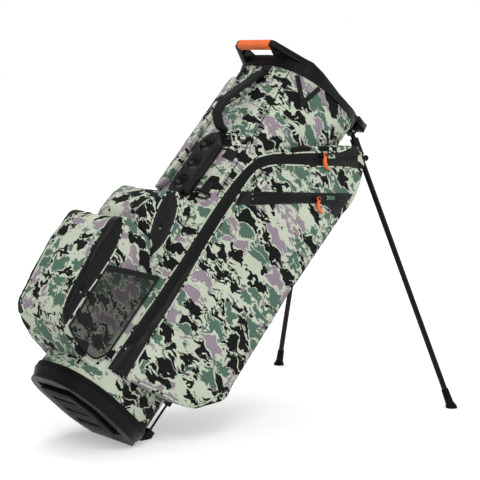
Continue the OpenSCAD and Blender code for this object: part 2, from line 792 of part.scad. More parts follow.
module upper_pocket() color(camo) stand() difference() {
    upper_body(0);
    upper_body(-cloth_t);
}

module upper_zip() color(black) stand()
    for (side = [left, right]) on_side(side) side_view(upper_half, upper_half + tape_t) soften(2)
        polygon(concat([for (p = [[0.62, 0.82], [0.4, 0.8], [0.07, 0.53]])
            [-tube_rear - p[0] * upper_out, ball_top + 3 + p[1] * (upper_top - ball_top - 3)]],
            [[-tube_rear + 13, ball_top * 0.88], [-tube_rear + 7, ball_top * 0.873],
            [-tube_rear - 0.31 * upper_out, ball_top * 1.02], [-tube_rear - 0.65 * upper_out, ball_top * 1.2]]));

// Bottle sleeves: shallow mesh trays on the sides of the ball pocket, open at the top

sleeve_rim = concat([for (p = [[0.67, 0.706], [0.63, 0.291]]) [-tube_rear - p[0] * ball_out, p[1] * ball_top]],
    [for (p = [[17.5, 0.218], [28.5, 0.424], [28.5, 0.87]]) [-tube_rear + p[0], p[1] * ball_top]]);

module bottle_sleeve(side) color("#3d423d") stand() on_side(side) difference() {
    side_view(ball_half + fit, ball_half + fit + sleeve_depth + mesh_t) polygon(sleeve_rim);
    side_view(ball_half, ball_half + fit + sleeve_depth) polygon([
        sleeve_rim[0] + [4, 60], sleeve_rim[1] + [3, 2.5], sleeve_rim[2] + [-1, 3], sleeve_rim[3] + [-3, 0],
        sleeve_rim[4] + [-3, 60]]);
    side_view(0, ball_half + tape_t + fit)
        polygon([for (p = [[0.97, 0.94], [0.71, 0.27], [0.52, 0.27], [0.6, 0.94]])
            [-tube_rear - p[0] * ball_out, p[1] * ball_top]]);
    tube_body(seat_gap);
}

module sleeve_elastic(side) color(black) stand() on_side(side)
    side_view(ball_half + fit + sleeve_depth + mesh_t, ball_half + fit + sleeve_depth + mesh_t + 2)
        band(sleeve_rim[0] + [2, -elastic_w / 2], sleeve_rim[4] + [-2, -elastic_w / 2], elastic_w);

// Fittings

silo_z = upper_top + 6 + silo_len / 2;

module silo_frame() translate([-tube_half(silo_z) - silo_t + 3, spine_y, silo_z]) rotate([0, -90, 0]) children();

module ball_silo() color(black) stand() difference() {
    silo_frame() translate([0, 0, -silo_t]) linear_extrude(silo_t) rounded(silo_len, silo_w, silo_w / 2 - 0.01);
    silo_frame() for (x = [-1, 0, 1]) translate([x * (silo_len / 3 - 5), 0, 10.5]) sphere(r = cup_r);
    tube_body(seat_gap);
}

handle_z0 = silo_z + silo_len / 2 + 16;
handle_z1 = tube_len - 37;
handle_x = -tube_half(handle_z0);

module handle_view() polygon([
    for (p = [[38, 0], [-18, -0.02], [-44, 0.08], [-48, 0.3], [-35, 0.54], [-8, 1], [38, 1.02]])
        [handle_x + p[0], handle_z0 + p[1] * (handle_z1 - handle_z0)]]);

module carry_handle() color(black) stand() difference() {
    side_view(spine_y - handle_w / 2, spine_y + handle_w / 2) difference() {
        offset(r = 14, $fn = 32) offset(delta = -14) handle_view();
        offset(r = 8, $fn = 32) offset(delta = -8 - handle_t) handle_view();
    }
    tube_body(seat_gap);
}

module handle_tabs() color(black) stand() on_tube(webbing_t)
    for (z = [[handle_z1 + 2, 12], [handle_z0 - 15, 11]])
        translate([-big, spine_y - handle_w / 2, z[0]]) cube([big, handle_w, z[1]]);

// Webbing V below the collar for a towel
module towel_loop() color(black) stand() difference() {
    ends = in_view([[-62, 785], [-98, 826], [-48, 841]]);
    on_tube(webbing_t) side_view(-big / 2, -50) {
        band(ends[1], ends[0], 9);
        band(ends[2], ends[0], 9);
    }
    above_collar(-fit);
}

module cross_webbing() color(black) stand() on_tube(webbing_t)
    for (reach = [[spine_y - silo_w / 2 - cross_near, cross_near - 2], [spine_y + silo_w / 2 + 2, cross_far]])
        translate([-big, reach[0], silo_z + cross_up]) cube([big, reach[1], webbing_w]);

// Strap ring on the near rear of the tube
ring_turn = 214;
ring_z = upper_top + 40;
ring_reach = 16;

// The rounded corner of the tube at height z: its radius and its centre
function corner_r(z) = base_r * tube_half(z) / tube_half(0);
function corner_c(z) = [corner_r(z) - tube_half(z), corner_r(z) - tube_half(z) * base_w / base_d];

module ring_frame() translate([corner_c(ring_z)[0], corner_c(ring_z)[1], ring_z]) rotate([0, 0, ring_turn])
    translate([corner_r(ring_z) + 5, 0, 0]) children();

module ring_tab() color(black) stand() difference() {
    union() {
        ring_frame() rotate([90, 0, 0]) cylinder(r = ring_wire + 2.2, h = 18, center = true);
        ring_frame() translate([-8, -9, 0]) cube([9, 18, 26]);
    }
    ring_frame() rotate([90, 0, 0]) cylinder(r = ring_wire + pin_play, h = big / 6, center = true);
    tube_body(seat_gap);
}

module strap_ring() color("#2c2c30") stand() ring_frame() {
    rotate([90, 0, 0]) cylinder(r = ring_wire, h = 2 * ring_reach, center = true);
    rotate([0, 90, 0]) rotate([0, 0, -90]) rotate_extrude(angle = 180) translate([ring_reach, 0])
        circle(ring_wire);
}

// Shoulder strap put away along the far side of the spine
module strap_pad() color("#242427") stand() on_tube(strap_t)
    rotate([90, 0, -90]) linear_extrude(big) soften(18)
        polygon([[-82 * wide, upper_top + 28], [-32 * wide, upper_top + 28], [-32 * wide, tube_len - 59],
            [-82 * wide, tube_len - 59]]);

module strap_webbing() color(black) stand() on_tube(webbing_t)
    for (z = [[upper_top + 4, 24 - fit], [tube_len - 59 + fit, 34]])
        translate([-big, 57 * wide - webbing_w / 2, z[0]]) cube([big, webbing_w, z[1]]);

base_boot();
base_tread();
base_welt();
tube_shell();
stay_rods();
divider_spine();
divider_cross();
divider_grid();
top_collar();
lift_grip();
grip_screws();
stand_bracket();
bracket_screws();
leg_pins();
hip_pad();
rod_guides();
side_pocket(left);  // side_pocket_left
side_pocket(right);  // side_pocket_right
side_zip(left);  // side_zip_left
side_zip(right);  // side_zip_right
ball_pocket();
ball_zip();
upper_pocket();
upper_zip();
bottle_sleeve(left);  // bottle_sleeve_left
bottle_sleeve(right);  // bottle_sleeve_right
sleeve_elastic(left);  // sleeve_elastic_left
sleeve_elastic(right);  // sleeve_elastic_right
ball_silo();
carry_handle();
handle_tabs();
towel_loop();
cross_webbing();
ring_tab();
strap_pad();
strap_webbing();
toe_tab();
leg_socket(left);  // leg_socket_left
leg_tube(left);  // leg_tube_left
leg_foot(left);  // leg_foot_left
leg_clip(left);  // leg_clip_left
leg_socket(right);  // leg_socket_right
leg_tube(right);  // leg_tube_right
leg_foot(right);  // leg_foot_right
leg_clip(right);  // leg_clip_right
stand_link(left);  // stand_link_left
stand_link(right);  // stand_link_right
push_rods();
push_shoe();
slider(left, top_slider_x, top_slider_z, top_rise);  // top_slider_left
pull(left, top_slider_x, top_slider_z);  // top_pull_left
slider(left, chest_slider_x, chest_slider_z, chest_rise);  // chest_slider_left
pull(left, chest_slider_x, chest_slider_z);  // chest_pull_left
slider(right, top_slider_x, top_slider_z, top_rise);  // top_slider_right
pull(right, top_slider_x, top_slider_z);  // top_pull_right
slider(right, chest_slider_x, chest_slider_z, chest_rise);  // chest_slider_right
pull(right, chest_slider_x, chest_slider_z);  // chest_pull_right
strap_ring();
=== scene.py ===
"""Looks of the golf stand bag: padded camouflage cloth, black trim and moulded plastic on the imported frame."""

import json
import math

import bpy
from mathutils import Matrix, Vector, noise
from mathutils.bvhtree import BVHTree
from mathutils.kdtree import KDTree


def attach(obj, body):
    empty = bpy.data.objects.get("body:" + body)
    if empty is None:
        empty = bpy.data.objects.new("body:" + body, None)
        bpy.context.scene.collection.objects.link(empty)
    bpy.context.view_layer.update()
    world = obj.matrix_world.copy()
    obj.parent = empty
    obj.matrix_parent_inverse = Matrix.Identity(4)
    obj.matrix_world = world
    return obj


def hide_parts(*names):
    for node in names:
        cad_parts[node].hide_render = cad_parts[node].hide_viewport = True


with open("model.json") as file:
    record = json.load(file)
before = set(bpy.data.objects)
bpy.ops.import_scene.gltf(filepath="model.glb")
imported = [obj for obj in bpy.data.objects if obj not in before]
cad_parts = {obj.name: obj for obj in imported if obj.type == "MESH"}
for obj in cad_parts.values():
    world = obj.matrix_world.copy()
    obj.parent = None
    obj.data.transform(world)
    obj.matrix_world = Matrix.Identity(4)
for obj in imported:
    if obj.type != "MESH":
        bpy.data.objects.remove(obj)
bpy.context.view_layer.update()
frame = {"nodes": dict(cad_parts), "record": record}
nodes = frame["nodes"]

# The bag's own frame, in millimetres: p towards the legs, q across, w along the tube from the base
LEAN = math.radians(43.6)
COS, SIN = math.cos(LEAN), math.sin(LEAN)
BASE_D, BASE_W, BASE_R, TOE_BEVEL = 243.0, 224.0, 95.0, 14.0
TOP_D, TUBE_LEN = 260.0, 849.0
COLLAR_TILT = math.radians(8.7)
STAND_X = -BASE_D / 2 * COS
STAND_Z = BASE_D / 2 * SIN - TOE_BEVEL
FLANGE_H = 24.0


def bag(p, q, w):
    """A point of the bag's frame in the row frame, in metres."""
    return Vector((STAND_X + p * COS + w * SIN, q, STAND_Z - p * SIN + w * COS)) / 1000


def bag_way(p, q, w):
    """A direction of the bag's frame in the row frame."""
    return Vector((p * COS + w * SIN, q, -p * SIN + w * COS)).normalized()


def in_bag(point):
    """A point of the row frame in the bag's frame."""
    x, z = point.x * 1000 - STAND_X, point.z * 1000 - STAND_Z
    return Vector((x * COS - z * SIN, point.y * 1000, x * SIN + z * COS))


def tube_reach(turn, w, out=0.0):
    """Distance from the tube's axis to its cloth at an angle round it, out standing proud."""
    k = 1 + (TOP_D / BASE_D - 1) * w / TUBE_LEN
    half_d, half_w, radius = BASE_D / 2 * k + out, BASE_W / 2 * k + out, BASE_R * k + out
    c, s = abs(math.cos(turn)), abs(math.sin(turn))
    cx, cy = half_d - radius, half_w - radius
    if c > 1e-9 and half_d / c * s <= cy:
        return half_d / c
    if s > 1e-9 and half_w / s * c <= cx:
        return half_w / s
    along = c * cx + s * cy
    return along + math.sqrt(max(0.0, along * along - (cx * cx + cy * cy - radius * radius)))


def on_tube(degrees, w, out=0.0):
    """A point of the tube's cloth, at an angle round it and a height along it."""
    turn = math.radians(degrees)
    reach = tube_reach(turn, w, out)
    return bag(reach * math.cos(turn), reach * math.sin(turn), w)


def collar_w(p):
    """Height of the collar's seat over a place on the tube."""
    return TUBE_LEN + p * math.tan(COLLAR_TILT)


# Hand tools
MERGE = 1e-5  # metres within which corners are one
FLAT = math.radians(0.6)  # faces that turn less than this from each other are one


def deselect():
    bpy.ops.object.select_all(action="DESELECT")


def only(piece):
    deselect()
    piece.select_set(True)
    bpy.context.view_layer.objects.active = piece


def edit_all(piece):
    only(piece)
    bpy.ops.object.mode_set(mode="EDIT")
    bpy.ops.mesh.select_all(action="SELECT")


def done_editing():
    bpy.ops.object.mode_set(mode="OBJECT")


def modify(piece, kind, **settings):
    """Adds a modifier with these settings and applies it."""
    only(piece)
    modifier = piece.modifiers.new(kind.title(), kind)
    for key, value in settings.items():
        setattr(modifier, key, value)
    bpy.ops.object.modifier_apply(modifier=modifier.name)
    return piece


def smooth(piece, degrees=40):
    only(piece)
    bpy.ops.object.shade_smooth_by_angle(angle=math.radians(degrees))
    return piece


def dress(piece, finish, body="bag", stands_for=(), slot=None):
    """Gives a piece its finish and its body, and hides the solids it stands for."""
    if finish is not None:
        piece.data.materials.clear()
        piece.data.materials.append(finish)
    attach(piece, body)
    if stands_for:
        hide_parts(*stands_for)
    return piece


def join(name, pieces):
    deselect()
    for piece in pieces:
        piece.select_set(True)
    bpy.context.view_layer.objects.active = pieces[0]
    bpy.ops.object.join()
    pieces[0].name = name
    return pieces[0]


def mirrored(piece, name):
    """The same piece for the other side of the bag."""
    only(piece)
    bpy.ops.object.duplicate()
    twin = bpy.context.object
    twin.name = name
    for v in twin.data.vertices:
        v.co.y = -v.co.y
    edit_all(twin)
    bpy.ops.mesh.flip_normals()
    done_editing()
    return twin


def solid_copy(node, name):
    """A merged copy of a solid's mesh."""
    piece = bpy.data.objects.new(name, nodes[node].data.copy())
    bpy.context.scene.collection.objects.link(piece)
    edit_all(piece)
    bpy.ops.mesh.remove_doubles(threshold=MERGE)
    done_editing()
    return piece


def outer_skin(piece):
    """Deletes the lining inside a hollow solid."""
    edit_all(piece)
    bpy.ops.mesh.separate(type="LOOSE")
    done_editing()
    parts = sorted(bpy.context.selected_objects, key=lambda o: -o.dimensions.length)
    for part in parts[1:]:
        bpy.data.objects.remove(part)
    return parts[0]


def moulded(node, finish, width, segments=2, slot="black_plastic"):
    """A rigid solid with the soft edges of a moulding."""
    body = next(b for b, members in frame["record"]["behaviour"]["bodies"].items() if node in members)
    piece = solid_copy(node, node + "_moulding")
    edit_all(piece)
    bpy.ops.mesh.dissolve_limited(angle_limit=FLAT)
    done_editing()
    if width:
        modify(piece, "BEVEL", width=width, segments=segments, limit_method="ANGLE", angle_limit=math.radians(32),
               use_clamp_overlap=True, harden_normals=False)
    smooth(piece, 38)
    return dress(piece, finish, body, (node,), slot)


def sheet(name, across, along, place, size, thick=0.0, out=None):
    """A grid of cloth laid through place(u, v), with UVs in metres; thick makes it a band that faces out."""
    deselect()
    bpy.ops.mesh.primitive_grid_add(x_subdivisions=across, y_subdivisions=along, size=1)
    piece = bpy.context.object
    piece.name = name
    for v in piece.data.vertices:
        v.co = place(v.co.x + 0.5, v.co.y + 0.5)
    for corner in piece.data.uv_layers.active.data:
        corner.uv = (corner.uv[0] * size[0], corner.uv[1] * size[1])
    piece.data.update()
    piece["cut"] = (*size, sum(p.area for p in piece.data.polygons))
    if out is not None:
        facing = sum((p.normal * p.area for p in piece.data.polygons), Vector()).dot(out)
        if facing < 0:
            edit_all(piece)
            bpy.ops.mesh.flip_normals()
            done_editing()
    if thick:
        modify(piece, "SOLIDIFY", thickness=thick, offset=1.0)
    return piece


def sewn(piece, *under):
    """Reads the flat cut of a sheet sewn flat on what lies under it and hands the sheet back; under is not used."""
    width, length, area = piece["cut"]
    return piece


def piping(name, points, radius):
    """A thin sewn-in cord along points."""
    curve = bpy.data.curves.new(name, "CURVE")
    curve.dimensions = "3D"
    curve.bevel_depth = radius
    curve.bevel_resolution = 2
    curve.use_fill_caps = True
    line = curve.splines.new("POLY")
    line.points.add(len(points) - 1)
    for knot, point in zip(line.points, points):
        knot.co = (*point, 1)
    piece = bpy.data.objects.new(name, curve)
    bpy.context.scene.collection.objects.link(piece)
    only(piece)
    bpy.ops.object.convert(target="MESH")
    return smooth(bpy.context.object, 60)


def smooth_line(points, count):
    """Evenly spaced points on a smooth line through points."""
    line = [Vector(p) for p in points]
    fine = []
    for i in range(len(line) - 1):
        a, b, c, d = line[max(0, i - 1)], line[i], line[i + 1], line[min(len(line) - 1, i + 2)]
        for k in range(12):
            t = k / 12
            fine.append(0.5 * (2 * b + (c - a) * t + (2 * a - 5 * b + 4 * c - d) * t ** 2
                               + (3 * b - a - 3 * c + d) * t ** 3))
    fine.append(line[-1])
    marks = [0.0]
    for a, b in zip(fine, fine[1:]):
        marks.append(marks[-1] + (b - a).length)
    found, i = [], 0
    for n in range(count + 1):
        at = marks[-1] * n / count
        while i < len(fine) - 2 and marks[i + 1] < at:
            i += 1
        found.append(fine[i].lerp(fine[i + 1], (at - marks[i]) / max(1e-9, marks[i + 1] - marks[i])))
    return found


def at_share(points, share):
    """The point that lies a share of the way along evenly spaced points."""
    f = share * (len(points) - 1)
    i = min(int(f), len(points) - 2)
    return points[i].lerp(points[i + 1], f - i)


# Finishes

def tone(colour, share):
    """A colour made darker or lighter."""
    return tuple(min(1, c * share) for c in colour)


class Finish:
    """A node material under construction."""

    def __init__(self, name, colour, roughness, **sockets):
        self.mat = bpy.data.materials.new(name)
        self.mat.use_nodes = True
        self.tree = self.mat.node_tree
        self.shader = self.tree.nodes["Principled BSDF"]
        self.shader.inputs["Base Color"].default_value = (*colour, 1)
        self.shader.inputs["Roughness"].default_value = roughness
        for key, value in sockets.items():
            self.shader.inputs[key.replace("_", " ")].default_value = value
        self.coords = self.tree.nodes.new("ShaderNodeTexCoord")

    def add(self, kind, values=None, **settings):
        node = self.tree.nodes.new("ShaderNode" + kind)
        for key, value in settings.items():
            setattr(node, key, value)
        for key, value in (values or {}).items():
            if hasattr(value, "is_linked"):
                self.tree.links.new(value, node.inputs[key])
            else:
                node.inputs[key].default_value = value
        return node

    def link(self, output, socket):
        self.tree.links.new(output, self.shader.inputs[socket])

    def math(self, operation, a, b=0.0):
        return self.add("Math", {0: a, 1: b}, operation=operation).outputs[0]

    def mix(self, factor, a, b, blend="MIX"):
        node = self.add("Mix", {0: factor}, data_type="RGBA", blend_type=blend)
        for index, value in ((6, a), (7, b)):
            if hasattr(value, "is_linked"):
                self.tree.links.new(value, node.inputs[index])
            else:
                node.inputs[index].default_value = (*value, 1)
        return node.outputs[2]

    def bump(self, height, strength, distance, below=None):
        values = {"Height": height, "Strength": strength, "Distance": distance}
        if below is not None:
            values["Normal"] = below
        return self.add("Bump", values).outputs[0]

    def bag_coords(self, shift=(0, 0, 0), turn=0.0):
        """Object coordinates turned into the bag's frame."""
        turned = self.add("Mapping", {"Vector": self.coords.outputs["Object"], "Rotation": (0, -LEAN, 0)})
        return self.add("Mapping", {"Vector": turned.outputs[0], "Location": shift,
                                    "Rotation": (0, turn, 0)}).outputs[0]

    def noise(self, vector, scale, detail=2.0, roughness=0.5):
        values = {"Vector": vector, "Scale": scale, "Detail": detail, "Roughness": roughness}
        return self.add("TexNoise", values).outputs["Fac"]

    def waves(self, vector, period, axis):
        """Ridges of that period in metres, one after another along an axis."""
        values = {"Vector": vector, "Scale": 2 * math.pi / (20 * period)}
        return self.add("TexWave", values, bands_direction=axis).outputs["Fac"]

    def weave(self, vector, period):
        """Crossed threads of that period in metres."""
        return self.math("MAXIMUM", self.waves(vector, period, "X"), self.waves(vector, period, "Z"))


SAGE = (0.550, 0.602, 0.480)
PINE = (0.088, 0.158, 0.120)
MAUVE = (0.300, 0.240, 0.290)
INK = (0.0075, 0.0078, 0.0085)


def camo_print(name, shift, turn=0.0):
    """Printed cloth: separate ragged patches of ink, pine and mauve on a sage ground, drawn out across the bag."""
    cloth = Finish(name, SAGE, 0.85, Specular_IOR_Level=0.12)
    place = cloth.bag_coords(shift, turn)

    def wandered(vector, stretch, scale, detail, rough, reach):
        """Moves a pattern about by cloudy amounts: reach is how far along each axis, in metres."""
        drawn = cloth.add("Mapping", {"Vector": vector, "Scale": stretch}).outputs[0]
        drift = cloth.add("TexNoise", {"Vector": drawn, "Scale": scale, "Detail": detail, "Roughness": rough})
        centred = cloth.add("VectorMath", {0: drift.outputs["Color"], 1: (0.5, 0.5, 0.5)}, operation="SUBTRACT")
        moved = cloth.add("VectorMath", {0: centred.outputs[0], 1: reach, 2: vector}, operation="MULTIPLY_ADD")
        return moved.outputs[0]

    def patches(offset, stretch, scale, gap, shares):
        """Masks of patches that keep apart from each other, one for each share of the cells."""
        moved = cloth.add("Mapping", {"Vector": ragged, "Location": offset, "Scale": stretch}).outputs[0]
        edge = cloth.add("TexVoronoi", {"Vector": moved, "Scale": scale}, feature="DISTANCE_TO_EDGE").outputs[0]
        cell = cloth.add("TexVoronoi", {"Vector": moved, "Scale": scale}).outputs["Color"]
        lot = cloth.add("SeparateColor", {0: cell}).outputs[0]
        thin = cloth.add("MapRange", {"Value": cloth.noise(place, 70.0, 2.0, 0.6), "From Min": 0.35, "From Max": 0.68,
                                      "To Min": gap * 0.25, "To Max": gap * 2.0}).outputs[0]
        inside = cloth.math("GREATER_THAN", edge, thin)
        masks, start = [], 0.0
        for share in shares:
            above = cloth.math("GREATER_THAN", lot, start)
            below = cloth.math("LESS_THAN", lot, start + share)
            masks.append(cloth.math("MULTIPLY", inside, cloth.math("MULTIPLY", above, below)))
            start += share
        return masks

    lobed = wandered(place, stretch=(1, 1, 1), scale=36.0, detail=1.0, rough=0.5, reach=(0.034, 0.034, 0.034))
    ragged = wandered(lobed, stretch=(0.22, 0.55, 1.0), scale=150.0, detail=1.5, rough=0.55,
                      reach=(0.070, 0.035, 0.010))
    ink, pine, mauve = patches(offset=(0, 0, 0), stretch=(0.46, 0.60, 1.0), scale=42.0, gap=0.068,
                               shares=(0.44, 0.235, 0.195))
    fleck_mauve, fleck_pine = patches(offset=(3.7, 1.9, 5.3), stretch=(0.40, 0.6, 1.0), scale=80.0, gap=0.17,
                                      shares=(0.20, 0.10))
    colour = cloth.mix(fleck_mauve, SAGE, MAUVE)
    colour = cloth.mix(fleck_pine, colour, PINE)
    colour = cloth.mix(mauve, colour, MAUVE)
    colour = cloth.mix(pine, colour, PINE)
    colour = cloth.mix(ink, colour, INK)
    threads = cloth.weave(place, 0.0013)
    worn = cloth.noise(place, 9.0, 3.0, 0.6)
    shade = cloth.add("MapRange", {"Value": worn, "From Min": 0.3, "From Max": 0.7, "To Min": 0.92, "To Max": 1.05})
    cloth.link(cloth.mix(1.0, colour, shade.outputs[0], "MULTIPLY"), "Base Color")
    rough = cloth.add("MapRange", {"Value": threads, "To Min": 0.92, "To Max": 0.78})
    cloth.link(rough.outputs[0], "Roughness")
    creases = cloth.bump(cloth.noise(place, 22.0, 3.0, 0.55), 0.5, 0.004)
    cloth.link(cloth.bump(threads, 0.4, 0.0003, creases), "Normal")
    return cloth.mat


def black_weave(name, period=0.0016, colour=(0.0070, 0.0070, 0.0078), roughness=0.72):
    """Plain black cloth with a fine woven face."""
    cloth = Finish(name, colour, roughness, Specular_IOR_Level=0.18)
    place = cloth.bag_coords()
    threads = cloth.weave(place, period)
    dust = cloth.noise(place, 14.0, 4.0, 0.6)
    cloth.link(cloth.mix(dust, tone(colour, 0.7), tone(colour, 1.5)), "Base Color")
    creases = cloth.bump(cloth.noise(place, 30.0, 3.0, 0.5), 0.3, 0.003)
    cloth.link(cloth.bump(threads, 0.4, 0.0003, creases), "Normal")
    return cloth.mat


# Zip tape, in metres: half widths of the coil and its groove, stitches in from the edge, and counts to a metre
COIL, GROOVE = 0.0046, 0.0010
STITCH_INSET, STITCH_HALF = 0.003, 0.0006
STITCH_COUNT, TEETH_COUNT = 330.0, 620.0


def zip_tape(name, width, coil=True):
    """Coated zip tape: satin black, a closed coil down its middle with painted shade in its groove, and a row of
    stitches along each edge.
    """
    black = (0.0042, 0.0043, 0.0049)
    tape = Finish(name, black, 0.44, Specular_IOR_Level=0.17)
    uv = tape.add("SeparateXYZ", {"Vector": tape.coords.outputs["UV"]})
    middle = tape.math("ABSOLUTE", tape.math("SUBTRACT", uv.outputs[0], width / 2))
    groove = tape.math("LESS_THAN", middle, GROOVE if coil else -1.0)
    ridge = tape.math("LESS_THAN", middle, COIL if coil else -1.0)
    edge = tape.math("COMPARE", middle, width / 2 - STITCH_INSET)
    edge.node.inputs[2].default_value = STITCH_HALF
    gap = tape.math("GREATER_THAN", tape.math("FRACT", tape.math("MULTIPLY", uv.outputs[1], STITCH_COUNT)), 0.3)
    stitch = tape.math("MULTIPLY", edge, gap)
    teeth = tape.math("MULTIPLY", tape.math("FRACT", tape.math("MULTIPLY", uv.outputs[1], TEETH_COUNT)), ridge)
    height = tape.math("SUBTRACT", tape.math("ADD", tape.math("MULTIPLY", ridge, 0.5), stitch), groove)
    height = tape.math("ADD", height, tape.math("MULTIPLY", teeth, 0.25))
    colour = tape.mix(stitch, black, (0.026, 0.026, 0.028))
    # The coil's groove is painted darker than the tape: painted shade in the recess.
    tape.link(tape.mix(groove, colour, (0.002, 0.002, 0.002)), "Base Color")
    spot = tape.coords.outputs["Object"]
    creases = tape.bump(tape.noise(spot, 26.0, 3.0, 0.5), 0.25, 0.003)
    grain = tape.bump(tape.noise(spot, 700.0, 2.0), 0.12, 0.0003, creases)
    tape.link(tape.bump(height, 0.7, 0.0006, grain), "Normal")
    return tape.mat


def ribbed_webbing(name, colour=(0.0070, 0.0070, 0.0076)):
    """Nylon webbing: ribs across it and cords along it, with painted shade in the troughs and painted highlight on
    the crests.
    """
    strap = Finish(name, colour, 0.64, Specular_IOR_Level=0.2)
    uv = strap.coords.outputs["UV"]
    height = strap.math("MULTIPLY", strap.waves(uv, 0.0018, "Y"), strap.waves(uv, 0.0030, "X"))
    # Colour follows the rib height: painted shade in the troughs, painted highlight on the crests.
    strap.link(strap.mix(height, tone(colour, 0.5), tone(colour, 1.7)), "Base Color")
    strap.link(strap.bump(height, 0.6, 0.0005), "Normal")
    return strap.mat


def knitted_mesh(name):
    """Open dark mesh: round holes in a staggered knit."""
    net = Finish(name, (0.016, 0.017, 0.017), 0.75, Specular_IOR_Level=0.25)
    uv = net.add("Mapping", {"Vector": net.coords.outputs["UV"], "Rotation": (0, 0, math.radians(45))}).outputs[0]
    knit = {"Vector": uv, "Scale": 480.0, "Randomness": 0.1}
    holes = net.add("TexVoronoi", knit, voronoi_dimensions="2D").outputs[0]
    net.link(net.math("GREATER_THAN", holes, 0.375), "Alpha")
    net.link(net.bump(holes, 0.5, 0.0004), "Normal")
    return net.mat


def moulded_black(name, colour=(0.0036, 0.0037, 0.0042), roughness=0.40, shine=0.13, grain=900.0, edges=3.5):
    """Moulded plastic: a fine spark-eroded grain, its edges painted paler, partly wear where hands rub them and
    partly painted highlight.
    """
    plastic = Finish(name, colour, roughness, Specular_IOR_Level=shine)
    spot = plastic.coords.outputs["Object"]
    skin = plastic.noise(spot, grain, 3.0, 0.65)
    cloud = plastic.noise(spot, 11.0, 3.0, 0.55)
    edge = plastic.add("NewGeometry").outputs["Pointiness"]
    # Edges found by pointiness are painted paler: partly wear, partly a painted highlight along the edges.
    edge_wear_and_glint = plastic.add("MapRange", {"Value": edge, "From Min": 0.52, "From Max": 0.60})
    shade = plastic.mix(cloud, tone(colour, 0.75), tone(colour, 1.3))
    worn = plastic.math("MULTIPLY", edge_wear_and_glint.outputs[0], 0.5)
    plastic.link(plastic.mix(worn, shade, tone(colour, edges)), "Base Color")
    rough = plastic.add("MapRange", {"Value": cloud, "From Min": 0.3, "From Max": 0.7, "To Min": roughness - 0.06,
                                     "To Max": roughness + 0.08})
    plastic.link(rough.outputs[0], "Roughness")
    plastic.link(plastic.bump(skin, 0.18, 0.0003), "Normal")
    return plastic.mat


def grained_rubber(name, colour, roughness, fleck=1.35, grain=420.0, depth=0.22):
    """Rubber with a pebbled skin."""
    skin = Finish(name, colour, roughness, Specular_IOR_Level=0.09)
    spot = skin.coords.outputs["Object"]
    pebble = skin.add("TexVoronoi", {"Vector": spot, "Scale": grain}).outputs["Distance"]
    cloud = skin.noise(spot, 40.0, 3.0, 0.6)
    skin.link(skin.mix(cloud, tone(colour, 0.82), tone(colour, fleck)), "Base Color")
    skin.link(skin.bump(pebble, depth, 0.0004), "Normal")
    return skin.mat


def printed_cord(name):
    """Piping cut from the printed cloth: pale, with dark dashes."""
    cord = Finish(name, SAGE, 0.75, Specular_IOR_Level=0.15)
    spot = cord.coords.outputs["Object"]
    dashes = cord.math("GREATER_THAN", cord.noise(spot, 95.0, 2.0, 0.5), 0.57)
    cord.link(cord.mix(dashes, SAGE, INK), "Base Color")
    cord.link(cord.bump(cord.noise(spot, 900.0, 2.0, 0.5), 0.3, 0.0003), "Normal")
    return cord.mat


def satin_metal(name, colour, metallic, roughness, streak, shine=0.5):
    """Coated or drawn metal with faint draw lines."""
    metal = Finish(name, colour, roughness, Metallic=metallic, Specular_IOR_Level=shine)
    lines = metal.add("Mapping", {"Vector": metal.coords.outputs["Object"], "Scale": (400, 400, 12)}).outputs[0]
    marks = metal.noise(lines, 3.0, 3.0, 0.6)
    metal.link(metal.mix(marks, tone(colour, 1 - streak), tone(colour, 1 + streak)), "Base Color")
    rough = metal.add("MapRange", {"Value": marks, "To Min": roughness - 0.07, "To Max": roughness + 0.07})
    metal.link(rough.outputs[0], "Roughness")
    return metal.mat


# Widths of the zip bands, in millimetres
REAR_ZIP_W, CHEST_ZIP_W, BALL_ZIP_W, UPPER_ZIP_W = 36, 30, 40, 26

tube_print = camo_print("tube_camo", (0.10, 0.30, 0.20), math.radians(-9))
side_print = camo_print("side_pocket_camo", (0.85, 0.15, 0.62), math.radians(-9))
ball_print = camo_print("ball_pocket_camo", (0.42, 0.77, 1.31), math.radians(-14))
upper_print = camo_print("upper_pocket_camo", (1.13, 0.48, 0.37), math.radians(-24))
trim_cloth = black_weave("black_trim_cloth")
pad_cloth = black_weave("black_pad_cloth", 0.0028, (0.008, 0.008, 0.009), 0.78)
lining = black_weave("dark_lining", 0.0020, (0.020, 0.020, 0.022), 0.85)
zip_wide = zip_tape("zip_tape_wide", REAR_ZIP_W / 1000)
zip_chest = zip_tape("zip_tape_chest", CHEST_ZIP_W / 1000)
zip_ball = zip_tape("zip_tape_ball", BALL_ZIP_W / 1000)
zip_upper = zip_tape("zip_tape_upper", UPPER_ZIP_W / 1000)
flat_tape = zip_tape("black_coated_cloth", 0.030, False)
webbing = ribbed_webbing("black_webbing")
netting = knitted_mesh("bottle_mesh")
cord_print = printed_cord("printed_piping")
plastic = moulded_black("black_moulding")
